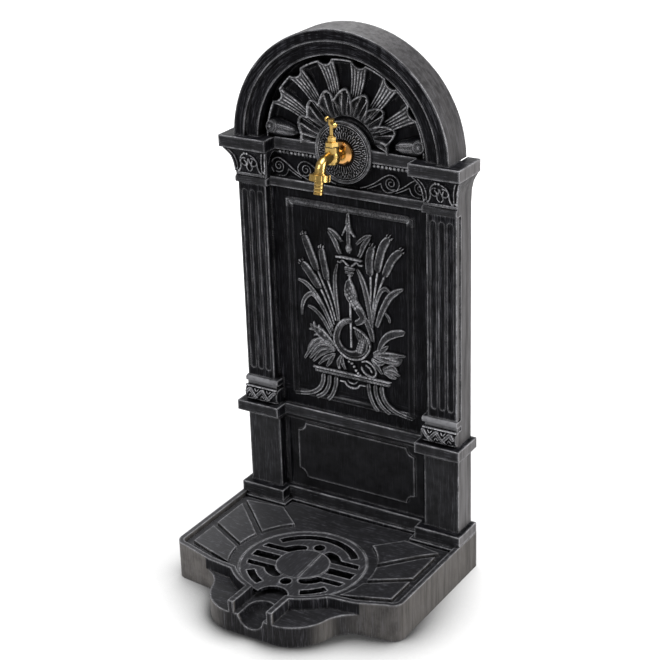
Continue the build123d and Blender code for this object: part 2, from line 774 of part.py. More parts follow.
def make_tap_body():
    """Tap body: threaded tail, round belly, neck, curved spout and outlet, with its waterway and seat."""
    front = tap_axis_depth
    wall_front = cornice_depth + rosette_thick + flange_high
    tail = across(0, tap_z, tail_radius - 0.1, tail_end(), wall_front)
    inlet = across(0, tap_z, inlet_radius, wall_front - 1, front)
    low = seat_level - tap_z - 7.0
    profile = [
        (0.45 * body_radius, low - 0.62 * body_radius),
        (0.80 * body_radius, low - 0.42 * body_radius),
        (0.97 * body_radius, low - 0.06 * body_radius),
        (body_radius, low + 0.35 * body_radius),
        (0.97 * body_radius, low + 0.75 * body_radius),
        (neck_radius, low + body_radius),
        (neck_radius, neck_top - tap_z),
    ]
    belly = Pos(0, back_y - front, tap_z) * turned(profile)
    spout = swept_round(spout_radius, spout_path())
    collar = outlet(spout_radius + 1.6, union_half, union_half + 2.5)
    thread = outlet(outlet_thread_radius, thread_low, union_half + 0.5)
    body = tail + inlet + belly + spout + collar + thread

    chamber = upright(0, front, chamber_radius, seat_level, neck_top + 1)
    seat_hole = upright(0, front, seat_bore, tap_z, seat_level + 1)
    feed = across(0, tap_z - 1.5, water_radius, tail_end() - 1, front + 3)
    path = spout_path()
    gate = (0, back_y - front - 4, seat_level + water_radius + 0.3)
    points = [gate, path @ 0.42, path @ 0.62, path @ 0.8, outlet_point(thread_low - 1)]
    body = body - chamber - seat_hole - feed
    for start, end in zip(points, points[1:]):
        body = body - rod_between(start, end, water_radius)
    return body


def tail_end():
    """Depth where the tap's threaded tail ends, inside the elbow's socket."""
    return cornice_depth - wall - washer_thick - nut_thick - 8


def hexagon(across_flats, x, depth, z_low, z_high):
    """A hexagonal nut blank standing upright."""
    face = Pos(x, back_y - depth, z_low) * RegularPolygon(across_flats / math.sqrt(3), 6)
    return extrude(face, z_high - z_low, dir=(0, 0, 1))


def make_bonnet():
    """Bonnet: hexagon over the neck, a skirt inside it and a stuffing box for the packing."""
    front = tap_axis_depth
    hexed = hexagon(bonnet_across, 0, front, neck_top + 0.8, bonnet_top)
    skirt = upright(0, front, chamber_radius - 0.1, neck_top - 3.6, neck_top + 0.8)
    box = upright(0, front, 4.7, bonnet_top, bonnet_top + 4)
    bore = upright(0, front, spindle_radius + spindle_play, neck_top - 5, bonnet_top + 5)
    well = upright(0, front, 4.9, neck_top - 5, neck_top + 0.4)
    packing_room = upright(0, front, 3.9, bonnet_top + 1, bonnet_top + 5)
    return hexed + skirt + box - bore - well - packing_room


def make_bonnet_seal():
    """Thin ring between the neck and the bonnet hexagon."""
    ring = upright(0, tap_axis_depth, neck_radius - 1, neck_top, neck_top + 0.8)
    return ring - upright(0, tap_axis_depth, chamber_radius + 0.2, neck_top - 1, neck_top + 2)


def make_gland_packing():
    """Packing ring round the spindle under the gland nut."""
    ring = upright(0, tap_axis_depth, 3.85, bonnet_top + 1, bonnet_top + 4)
    return ring - upright(0, tap_axis_depth, spindle_radius + spindle_play, bonnet_top, bonnet_top + 5)


def make_gland_nut():
    """Gland nut: hexagon with a turned collar, screwed over the stuffing box."""
    front = tap_axis_depth
    nut = hexagon(gland_across, 0, front, bonnet_top, gland_top - 2)
    collar = upright(0, front, 0.42 * gland_across, gland_top - 2, gland_top)
    room = upright(0, front, 4.75, bonnet_top - 1, bonnet_top + 4)
    bore = upright(0, front, spindle_radius + spindle_play, bonnet_top, gland_top + 1)
    return nut + collar - room - bore


def make_spindle():
    """Spindle: foot that lifts the jumper, stem and a squared end in the handle hub."""
    front = tap_axis_depth
    low = seat_level + jumper_rise
    foot = upright(0, front, 4.5, low, low + 2)
    stem = upright(0, front, spindle_radius, low, bar_z - 4)
    square = block(-1.9, 1.9, front - 1.9, front + 1.9, bar_z - 4, bar_z + 2.5)
    pilot = upright(0, front, 1.05, bar_z - 4, bar_z + 4)
    socket = upright(0, front, 1.25, low - 1, low + 3)
    return foot + stem + square - pilot - socket


def make_jumper():
    """Jumper valve: plate that carries the washer, with a stem in the spindle's foot and a stud below."""
    front = tap_axis_depth
    low = seat_level + closed_gap
    high = seat_level + jumper_rise - closed_gap
    plate = upright(0, front, 5.8, low + 2.5, low + 4.5)
    collar = upright(0, front, 2.2, low + 4.5, high)
    stem = upright(0, front, 1.2, high, high + 2.4)
    stud = upright(0, front, 1.2, low - 2.5, low + 2.5)
    return plate + collar + stem + stud


def make_jumper_washer():
    """Rubber washer under the jumper plate, closed on the seat."""
    low = seat_level + closed_gap
    ring = upright(0, tap_axis_depth, 5.4, low, low + 2.5)
    return ring - upright(0, tap_axis_depth, 1.25, low - 1, low + 3)


def make_jumper_nut():
    """Small nut that holds the washer on the jumper, down in the seat hole."""
    high = seat_level + closed_gap
    nut = upright(0, tap_axis_depth, 2.6, high - 1.8, high)
    return nut - upright(0, tap_axis_depth, 1.25, high - 3, high + 1)


def make_tee_handle():
    """Cross bar with ball ends through a round hub, lying a little across the tap."""
    hub = Pos(0, 0, 0.4) * Cylinder(4.8, 8.7)
    bar = Rot(0, 90, 0) * Cylinder(bar_radius, 2 * bar_half)
    handle = hub + bar
    for sign in (1, -1):
        handle = handle + Pos(sign * bar_half, 0, 0) * Rot(0, 90, 0) * ball(ball_radius)
    handle = Pos(0, back_y - tap_axis_depth, bar_z) * Rot(0, 0, -bar_turn) * handle
    square = block(-1.95, 1.95, tap_axis_depth - 1.95, tap_axis_depth + 1.95, bar_z - 6, bar_z + 2.6)
    screw_hole = upright(0, tap_axis_depth, 1.5, bar_z, bar_z + 6)
    recess = upright(0, tap_axis_depth, 2.8, bar_z + 3.2, bar_z + 6)
    return handle - square - screw_hole - recess


def make_handle_screw():
    """Slotted screw that holds the handle on the spindle, sunk in the hub."""
    head = upright(0, tap_axis_depth, 2.6, bar_z + 3.2, bar_z + 4.6)
    shank = upright(0, tap_axis_depth, 1.0, bar_z - 3.5, bar_z + 3.2)
    slot = block(-3, 3, tap_axis_depth - 0.4, tap_axis_depth + 0.4, bar_z + 4.0, bar_z + 6)
    return head + shank - slot


def make_union_nut():
    """Scalloped union nut over the outlet, holding the hose tail's collar."""
    outer = Cylinder(union_radius, 2 * union_half)
    for index in range(union_lobes):
        turn = 2 * math.pi * (index + 0.5) / union_lobes
        reach = union_radius + 1.6
        outer = outer - Pos(reach * math.cos(turn), reach * math.sin(turn), 0) * Cylinder(2.6, 20)
    nut = outlet_place() * outer
    nut = nut - outlet(outlet_thread_radius + 0.05, 1.2 - union_half, union_half + 1)
    return nut - outlet(tail_barb_radius + 0.8, -union_half - 1, union_half + 1)


def make_hose_tail():
    """Hose tail: collar under the outlet, then a pipe with three sloped grooves that grip the hose."""
    collar_low = 1.3 - union_half
    collar_top = thread_low - 0.9
    pipe_low = -union_half - tail_length
    tail = outlet(outlet_thread_radius - 0.4, collar_low, collar_top)
    tail = tail + outlet(tail_barb_radius, pipe_low, collar_low)
    for index in range(1, 4):
        low = pipe_low + 4.8 * index - groove_width
        core = Solid.make_cone(tail_barb_radius - groove_deep, tail_barb_radius, groove_width, Plane.XY.offset(low))
        ring = Pos(0, 0, low + groove_width / 2) * Cylinder(tail_barb_radius + 1, groove_width) - core
        tail = tail - outlet_place() * ring
    return tail - outlet(tail_bore, pipe_low - 1, collar_top + 1)


def make_tail_washer():
    """Rubber washer between the outlet and the hose tail's collar."""
    ring = outlet(outlet_thread_radius - 0.5, thread_low - 0.9, thread_low)
    return ring - outlet(tail_bore + 0.5, thread_low - 2, thread_low + 1)


def make_back_washer():
    """Rubber washer on the inside of the wall."""
    high = cornice_depth - wall
    return ring_across(tail_radius + 6, tail_radius + 0.1, high - washer_thick, high)


def make_back_nut():
    """Brass hexagon nut that pulls the tap against the wall."""
    high = cornice_depth - wall - washer_thick
    face = Rot(90, 0, 0) * RegularPolygon(15.5, 6)
    nut = extrude(Pos(0, back_y - high + nut_thick, tap_z) * face, nut_thick, dir=(0, -1, 0))
    return nut - across(0, tap_z, tail_radius, high - nut_thick - 1, high + 1)


def elbow_front():
    """Depth of the elbow's mouth, just behind the back nut."""
    return cornice_depth - wall - washer_thick - nut_thick - 0.4


def make_elbow():
    """Elbow on the tap's tail: socket, closed back and a barbed leg pointing down."""
    front = elbow_front()
    back = pipe_depth - elbow_leg_radius - 1
    socket = across(0, tap_z, elbow_radius, back, front)
    leg = upright(0, pipe_depth, elbow_leg_radius, tap_z - 24, tap_z)
    barb = upright(0, pipe_depth, hose_inner - 0.05, tap_z - 24 - barb_length, tap_z - 24)
    room = across(0, tap_z, tail_radius, tail_end() - 1.2, front + 1)
    bore = upright(0, pipe_depth, water_radius, tap_z - 26 - barb_length, tap_z)
    return socket + leg + barb - room - bore


def make_elbow_seal():
    """Flat ring at the bottom of the elbow's socket."""
    return ring_across(tail_radius - 0.2, water_radius + 1.5, tail_end() - 1.2, tail_end())


def make_riser_hose():
    """The hose inside the column, straight from the inlet nipple up to the elbow."""
    top = tap_z - 24
    bottom = inlet_z + 10
    print("riser hose length", round(top - bottom, 1))
    return upright(0, pipe_depth, hose_outer, bottom, top) - upright(0, pipe_depth, hose_inner, bottom - 1, top + 1)


def clamp_levels():
    """Heights of the two hose clamps."""
    return [tap_z - 24 - 10, inlet_z + 20]


def make_hose_clamps():
    """Worm-drive bands round the two ends of the hose, each with its screw housing."""
    clamps = []
    for level in clamp_levels():
        band = upright(0, pipe_depth, hose_outer + 0.9, level - 4, level + 4)
        housing = block(hose_outer, hose_outer + 7, pipe_depth - 4.5, pipe_depth + 4.5, level - 4, level + 4)
        hole = across(hose_outer + 4, level, 2.1, 0, 40)
        clamps.append(band + housing - upright(0, pipe_depth, hose_outer + 0.05, level - 5, level + 5) - hole)
    return clamps


def make_clamp_screws():
    """Worm screws of the two clamps, with slotted hexagon heads."""
    screws = []
    for level in clamp_levels():
        shank = across(hose_outer + 4, level, 2.0, pipe_depth - 6, pipe_depth + 5)
        screws.append(shank + hexagon_across(6.5, hose_outer + 4, level, pipe_depth - 8, pipe_depth - 4.6))
    return screws


def make_inlet_nipple():
    """Inlet nipple at the foot: barb for the riser, hexagon, thread through the bracket and plug end."""
    barb = upright(0, pipe_depth, hose_inner - 0.05, inlet_z + 10, inlet_z + 10 + barb_length)
    hexed = hexagon(17.0, 0, pipe_depth, inlet_z + 1, inlet_z + 10)
    thread = upright(0, pipe_depth, 6.5, inlet_z - 10, inlet_z + 1)
    plug_top = inlet_z - 10
    plug = upright(0, pipe_depth, nipple_radius, plug_top - nipple_length, plug_top)
    groove = upright(0, pipe_depth, nipple_radius + 1, plug_top - 13, plug_top - 10)
    groove = groove - upright(0, pipe_depth, nipple_radius - 1.4, plug_top - 14, plug_top - 9)
    bore = upright(0, pipe_depth, water_radius, plug_top - nipple_length - 1, inlet_z + 40)
    return barb + hexed + thread + plug - groove - bore


def make_inlet_lock_nut():
    """Flat nut that locks the nipple in its bracket."""
    low = inlet_z - bracket_thick - 5
    return hexagon(17.0, 0, pipe_depth, low, low + 5) - upright(0, pipe_depth, 6.55, low - 1, low + 6)


def make_inlet_bracket():
    """Bent sheet bracket: two ears screwed to the wall's pads and a shelf with a hole for the nipple."""
    front = pipe_depth
    shelf = block(-bracket_screw_x - 6, bracket_screw_x + 6, 2.0, front, inlet_z - bracket_thick + 1, inlet_z + 1)
    shelf = shelf + upright(0, pipe_depth, 9.0, inlet_z - bracket_thick + 1, inlet_z + 1)
    ears = None
    for sign in (1, -1):
        x = sign * bracket_screw_x
        ear = block(x - 6, x + 6, front - bracket_thick, front, inlet_z - 2, inlet_z + 20)
        ears = ear if ears is None else ears + ear
    bracket = shelf + ears
    bracket = bracket - upright(0, pipe_depth, 6.6, inlet_z - 10, inlet_z + 10)
    for sign in (1, -1):
        bracket = bracket - across(sign * bracket_screw_x, inlet_z + 12, small_screw_radius + 0.2, 0, 40)
    return bracket


def hexagon_across(flats, x, z, depth_low, depth_high):
    """A hexagonal head or nut whose axis runs from back to front."""
    face = Pos(x, back_y - depth_low, z) * Rot(90, 0, 0) * RegularPolygon(flats / math.sqrt(3), 6)
    return extrude(face, depth_high - depth_low, dir=(0, -1, 0))


def make_bracket_screws():
    """Hexagon-head screws through the bracket's ears into the pads."""
    back = pipe_depth - bracket_thick
    screws = []
    for x, z, _ in small_screw_spots():
        shank = across(x, z, small_screw_radius, back, pipe_depth + 7)
        screws.append(shank + hexagon_across(7.0, x, z, back - 2.5, back))
    return screws


def make_tray():
    """The tray with the clearance holes of the column screws."""
    tray = make_base_tray()
    for x, depth in column_screw_spots:
        tray = tray - upright(x, depth, screw_radius + 0.3, 20, 60)
    return tray


pieces = {
    "column_shell": make_column_shell(),
    "base_tray": make_tray(),
    "drain_grate": make_drain_grate(),
    "column_screws": make_column_screws(),
    "tap_rosette": make_rosette(),
    "tap_wall_flange": make_wall_flange(),
    "tap_body": make_tap_body(),
    "tap_bonnet": make_bonnet(),
    "bonnet_seal": make_bonnet_seal(),
    "gland_packing": make_gland_packing(),
    "gland_nut": make_gland_nut(),
    "tap_spindle": make_spindle(),
    "tee_handle": make_tee_handle(),
    "handle_screw": make_handle_screw(),
    "jumper_valve": make_jumper(),
    "jumper_washer": make_jumper_washer(),
    "jumper_nut": make_jumper_nut(),
    "spout_union_nut": make_union_nut(),
    "hose_tail": make_hose_tail(),
    "hose_tail_washer": make_tail_washer(),
    "tap_back_washer": make_back_washer(),
    "tap_back_nut": make_back_nut(),
    "elbow_connector": make_elbow(),
    "elbow_seal": make_elbow_seal(),
    "riser_hose": make_riser_hose(),
    "hose_clamps": make_hose_clamps(),
    "clamp_screws": make_clamp_screws(),
    "inlet_nipple": make_inlet_nipple(),
    "inlet_lock_nut": make_inlet_lock_nut(),
    "inlet_bracket": make_inlet_bracket(),
    "bracket_screws": make_bracket_screws(),
}

os.makedirs("parts", exist_ok=True)
for name, shape in pieces.items():
    solid = Compound(children=shape) if isinstance(shape, list) else shape
    export_step(solid, "parts/" + name + ".step")
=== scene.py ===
import json
import math

import bpy
import numpy as np
from mathutils import Matrix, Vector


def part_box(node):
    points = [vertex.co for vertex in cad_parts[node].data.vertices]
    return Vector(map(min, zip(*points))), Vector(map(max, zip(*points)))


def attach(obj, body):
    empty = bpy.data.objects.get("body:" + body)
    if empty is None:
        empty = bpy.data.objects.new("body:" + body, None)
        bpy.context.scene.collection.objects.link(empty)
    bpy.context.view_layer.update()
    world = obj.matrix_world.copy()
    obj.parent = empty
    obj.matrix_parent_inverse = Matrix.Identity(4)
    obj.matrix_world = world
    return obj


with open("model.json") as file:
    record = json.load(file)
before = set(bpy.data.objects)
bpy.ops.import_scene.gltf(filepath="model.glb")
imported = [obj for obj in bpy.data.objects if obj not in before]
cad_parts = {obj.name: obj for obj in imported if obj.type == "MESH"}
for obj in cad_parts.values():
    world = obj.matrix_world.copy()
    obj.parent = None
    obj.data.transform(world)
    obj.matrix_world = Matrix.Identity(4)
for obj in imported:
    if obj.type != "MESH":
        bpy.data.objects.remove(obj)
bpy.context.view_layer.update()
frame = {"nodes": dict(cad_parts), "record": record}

# The looks of a garden water fountain: cast ornament on a hollow column, a rimmed tray and a brass tap.
# Shapes are given in millimetres: x to the right, z up and depth forwards from the flat back. Finishes, lamps
# and the camera are given in metres, in the object's frame.

MM = 0.001
BODY = "fountain"
CASTING = "antique_black"
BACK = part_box("column_shell")[1].y / MM


def place(name, data):
    """A new object with this mesh, lamp or camera, in the scene."""
    thing = bpy.data.objects.new(name, data)
    bpy.context.scene.collection.objects.link(thing)
    return thing


# ---------------------------------------------------------------- shapes

ROW_STEP = 0.35  # distance of the rows along a ridge, as a part of its width
MOST_ROWS = 90
ROUNDED_END = 0.04  # what is left of a ridge's size at a rounded end
BEAD_RINGS = np.pi * np.array([-0.5, -0.12, 0.08, 0.22, 0.35, 0.5])  # latitudes, back pole to top


def smooth_path(points, samples):
    """Catmull-Rom curve through the points: each span is the cubic that leaves one point along the chord of
    its two neighbours and reaches the next point the same way."""
    p = np.asarray(points, float)
    p = np.vstack([2 * p[0] - p[1], p, 2 * p[-1] - p[-2]])
    t = np.linspace(0, len(p) - 3 - 1e-9, samples)
    i = t.astype(int)
    f = (t - i)[:, None]
    a, b, c, d = p[i], p[i + 1], p[i + 2], p[i + 3]
    return 0.5 * (2 * b + (c - a) * f + (2 * a - 5 * b + 4 * c - d) * f**2 + (3 * b - a - 3 * c + d) * f**3)


def strip_faces(rows, columns, closed_columns=False):
    """Quads between neighbouring rows and columns of a grid, as vertex numbers. The last column joins the first
    where the columns are closed."""
    row = np.arange(rows - 1)[:, None] * columns
    column = np.arange(columns if closed_columns else columns - 1)[None, :]
    following = (column + 1) % columns
    quads = np.stack([row + column, row + following, row + columns + following, row + columns + column], -1)
    return quads.reshape(-1, 4)


def front_point(x, z, depth):
    """Millimetres across, up and forwards from the back, as metres in the object's frame."""
    x, z, depth = np.broadcast_arrays(x, z, depth)
    return np.stack([x, BACK - depth, z], -1) * MM


class Relief:
    """Grids of points gathered into one mesh, each point with a crest value from 0 (root) to 1 (top)."""

    def __init__(self):
        self.points = []
        self.faces = []
        self.crests = []
        self.count = 0

    def add(self, points, faces, crest):
        points = points.reshape(-1, 3)
        self.points.append(points)
        self.faces.append(faces + self.count)
        self.crests.append(np.broadcast_to(crest, points.shape[:1]).ravel())
        self.count += len(points)

    def mesh(self, name, material, slot=CASTING, body=BODY):
        points = np.concatenate(self.points).astype(np.float32)
        faces = np.concatenate(self.faces)
        crests = np.concatenate(self.crests).astype(np.float32)
        mesh = bpy.data.meshes.new(name)
        mesh.vertices.add(len(points))
        mesh.vertices.foreach_set("co", points.ravel())
        mesh.loops.add(faces.size)
        mesh.loops.foreach_set("vertex_index", faces.ravel())
        mesh.polygons.add(len(faces))
        mesh.polygons.foreach_set("loop_start", np.arange(len(faces)) * 4)
        mesh.polygons.foreach_set("use_smooth", np.ones(len(faces), bool))
        mesh.attributes.new("crest", "FLOAT", "POINT").data.foreach_set("value", crests)
        mesh.update(calc_edges=True)
        mesh.validate()
        mesh.materials.append(material)
        piece = place(name, mesh)
        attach(piece, body)


def along(values, rows):
    """One value, or a list spread evenly over the length, as one number for each row."""
    v = np.atleast_1d(np.asarray(values, float))
    return np.interp(np.linspace(0, 1, rows), np.linspace(0, 1, len(v)), v)


def near(u, middle, spread):
    """A soft peak around a place in a profile."""
    return np.exp(-(((u - middle) / spread) ** 2))


def shoulders(u, low, middle, spread):
    """Crest that is low in the middle of a profile and 1 along both its shoulders."""
    return low + (1 - low) * near(np.abs(u), middle, spread)


# each profile gives height and crest over the half profile's place u from -1 to 1
PROFILES = {
    "round": lambda u: (np.sqrt(1 - u**2), (1 - u**2) ** 1.2),
    "leaf": lambda u: (0.45 * np.sqrt(1 - u**2) + 0.55 * (1 - np.abs(u)), 0.45 + 0.55 * (1 - np.abs(u))),
    "strap": lambda u: (1 - u**6, shoulders(u, 0.45, 0.8, 0.2)),
    "pod": lambda u: (np.sqrt(1 - u**4), shoulders(u, 0.33, 0.78, 0.13)),
    "channel": lambda u: (np.sqrt(1 - u**6) * (1 - 0.5 * near(u, 0, 0.3)), shoulders(u, 0.16, 0.66, 0.16)),
}


def ridge(relief, points, width, height, base, profile="round", ends=(1, 1), samples=0, across=9, sink=0.8, gleam=1.0):
    """A raised strip along a path on the front: a half profile carried along the path, closed below the
    surface it lies on. Its two ends are rounded off where ends says 1, and gleam scales its crest."""
    p = np.asarray(points, float)
    length = np.sum(np.hypot(*np.diff(p, axis=0).T))
    rows = samples or int(np.clip(length / max(ROW_STEP * float(np.mean(width)), 0.6), 6, MOST_ROWS))
    path = smooth_path(p, rows) if len(p) > 2 else p[0] + (p[-1] - p[0]) * np.linspace(0, 1, rows)[:, None]
    step = np.gradient(path, axis=0)
    step /= np.maximum(np.hypot(step[:, 0], step[:, 1]), 1e-9)[:, None]
    side = np.stack([-step[:, 1], step[:, 0]], -1)
    run = np.concatenate([[0], np.cumsum(np.hypot(*np.diff(path, axis=0).T))])
    w = along(width, rows)
    h = along(height, rows)
    fade = np.ones(rows)
    for on, from_end in zip(ends, (run, run[-1] - run)):
        if on:
            inward = np.clip(from_end / np.maximum(0.5 * w, 1e-6), 0, 1)
            fade *= np.sqrt(np.clip(1 - (1 - inward) ** 2, 0, 1))
    fade = np.maximum(fade, ROUNDED_END)

    u = -np.cos(np.linspace(0, np.pi, across))
    u[0], u[-1] = -1.0, 1.0
    lift, shine = PROFILES[profile](u)
    raised = lift > 1e-6
    half = (0.5 * w * fade)[:, None]
    x = path[:, :1] + side[:, :1] * half * u
    z = path[:, 1:] + side[:, 1:] * half * u
    ground = base(x, z) if callable(base) else np.full_like(x, base)
    low = base(path[:, :1], path[:, 1:]) if callable(base) else np.full((rows, 1), base)
    depth = ground + (h * fade)[:, None] * lift - sink * ~raised
    x, z, depth = np.hstack([x, path[:, :1]]), np.hstack([z, path[:, 1:]]), np.hstack([depth, low - sink])
    crest = np.hstack([np.broadcast_to(gleam * shine * raised, (rows, across)), np.zeros((rows, 1))])

    grid = front_point(x, z, depth)
    caps = [np.repeat(end.mean(1, keepdims=True), across + 1, 1) for end in (grid[:1], grid[-1:])]
    grid = np.concatenate([caps[0], grid, caps[1]])
    crest = np.pad(crest, ((1, 1), (0, 0)))
    relief.add(grid, strip_faces(rows + 2, across + 1, closed_columns=True)[:, ::-1], crest.ravel())


def twin_ridges(relief, *paths, **more):
    """A ridge along each path and one along its mirror image in the middle plane."""
    for path in paths:
        for side in (1, -1):
            ridge(relief, [(side * x, z) for x, z in path], **more)


def bead(relief, x, z, depth, size, around=10):
    """An ellipsoid set half into the front, in rings from its back pole to its top; size is (across, up, proud)."""
    lat = BEAD_RINGS[:, None]
    lon = np.linspace(0, 2 * np.pi, around, endpoint=False)[None, :]
    x = x + size[0] * np.cos(lat) * np.cos(lon)
    z = z + size[1] * np.cos(lat) * np.sin(lon)
    grid = front_point(x, z, depth + size[2] * np.sin(lat) + 0 * lon)
    crest = np.repeat(np.clip(np.sin(BEAD_RINGS), 0, 1), around)
    relief.add(grid, strip_faces(len(BEAD_RINGS), around, closed_columns=True), crest)


# ---------------------------------------------------------------- finishes

def rgb(r, g, b):
    return (r, g, b, 1.0)


class Net:
    """Short hand for building the node tree of a material or of the world."""

    def __init__(self, owner):
        owner.use_nodes = True
        self.owner = owner
        self.tree = owner.node_tree
        self.tree.nodes.clear()

    def add(self, kind, inputs=None, **props):
        """A node of this kind; each input is a number, a colour or the socket that feeds it."""
        node = self.tree.nodes.new(kind)
        for key, value in props.items():
            setattr(node, key, value)
        for key, value in (inputs or {}).items():
            self.put(node.inputs[key], value)
        return node

    def put(self, socket, value):
        if isinstance(value, bpy.types.NodeSocket):
            self.tree.links.new(value, socket)
        else:
            socket.default_value = value

    def math(self, operation, a, b=0.5):
        return self.add("ShaderNodeMath", {0: a, 1: b}, operation=operation).outputs[0]

    def chain(self, operation, first, *rest):
        for value in rest:
            first = self.math(operation, first, value)
        return first

    def plus(self, a, b):
        return self.math("ADD", a, b)

    def times(self, *values):
        return self.chain("MULTIPLY", *values)

    def most(self, *values):
        """The largest of the values."""
        return self.chain("MAXIMUM", *values)

    def less(self, value, whole=1.0):
        """What is left of the whole without the value."""
        return self.math("SUBTRACT", whole, value)

    def ramp(self, value, low, high, out_low=0.0, out_high=1.0):
        """A smooth step: out_low up to low, out_high from high on."""
        inputs = {"Value": value, "From Min": low, "From Max": high, "To Min": out_low, "To Max": out_high}
        return self.add("ShaderNodeMapRange", inputs, interpolation_type="SMOOTHSTEP").outputs["Result"]

    def noise(self, scale, stretch=(1, 1, 1), detail=4.0, rough=0.6, coords=None):
        mapping = self.add("ShaderNodeMapping", {"Vector": coords or self.coords, "Scale": stretch})
        inputs = {"Vector": mapping.outputs[0], "Scale": scale, "Detail": detail, "Roughness": rough}
        return self.add("ShaderNodeTexNoise", inputs).outputs["Fac"]

    def mix(self, factor, a, b):
        return self.add("ShaderNodeMix", {"Factor": factor, "A": a, "B": b}, data_type="RGBA").outputs["Result"]

    def split(self, vector):
        return self.add("ShaderNodeSeparateXYZ", {"Vector": vector}).outputs

    def occlusion(self, distance, samples=6):
        """Open sky over a point, 1 in the open and 0 in a closed hollow of this size."""
        return self.add("ShaderNodeAmbientOcclusion", {"Distance": distance}, samples=samples).outputs["AO"]

    def bump(self, height, strength, distance, **more):
        inputs = {"Strength": strength, "Distance": distance, "Height": height, **more}
        return self.add("ShaderNodeBump", inputs).outputs[0]

    def coat(self, colour, rough, bump, **more):
        """The finished material: a plain surface of this colour, roughness and bump."""
        inputs = {"Base Color": colour, "Roughness": rough, "Normal": bump, **more}
        return self.finish(self.add("ShaderNodeBsdfPrincipled", inputs))

    def finish(self, shader, kind="Material"):
        out = self.add("ShaderNodeOutput" + kind)
        self.tree.links.new(shader.outputs[0], out.inputs["Surface"])
        return self.owner


def material_net(name):
    """The net of a new material, with the object's coordinates at hand."""
    net = Net(bpy.data.materials.new(name))
    net.coords = net.add("ShaderNodeTexCoord").outputs["Object"]
    return net


# heights of the mouldings that run across the column, and other marks of its shape
MOULDINGS = ((0.0583, 0.0784), (0.1993, 0.2265), (0.2510, 0.2675), (0.5925, 0.6065), (0.6523, 0.6707))
SHAFT_SIDES = (0.2270, 0.6500)
ARCH_CENTRE = (0.0, 0.0, 0.6666)
ARCH_RECESS_RADIUS = 0.1385
ARCH_MIDDLE_RADIUS = 0.16
ARCH_BAND_RADIUS = 0.1785
APRON_REACH = 0.1370
GUTTER_REACH = 0.0300
APRON_TOP = 0.0340
APRON_NOSE = -0.1650

# zones with a finish of their own: from and to, outwards from the middle and then upwards
ALL = 1.0
ZONES = {
    "flutes": ((0.1430, 0.1830), (0.2740, 0.5900)),
    "field": ((-ALL, 0.1280), (0.2290, 0.5900)),
    "border": ((0.0960, 0.1130), (0.2480, 0.5600)),
    "plaque": ((-ALL, 0.1200), (0.0790, 0.1990)),
    "frieze": ((-ALL, 0.1300), (0.6070, 0.6400)),
    "dies": ((0.1250, ALL), (0.0790, 0.1990)),
    "foot_bar": ((0.1300, ALL), (0.2530, 0.2680)),
}
LONG_STROKES = (760, 760, 30)
LEVEL_STROKES = (30, 700, 700)
PEWTER = rgb(0.55, 0.55, 0.58)
STREAK = rgb(0.105, 0.105, 0.120)
# haze colour, for the brushed haze on the dies, the plaque and the mouldings and for the painted sheen on the tray's
# level faces
HAZE_AND_SHEEN = rgb(0.10, 0.10, 0.105)
DUST = rgb(0.10, 0.10, 0.108)
WARM_PEWTER = rgb(0.168, 0.157, 0.149)


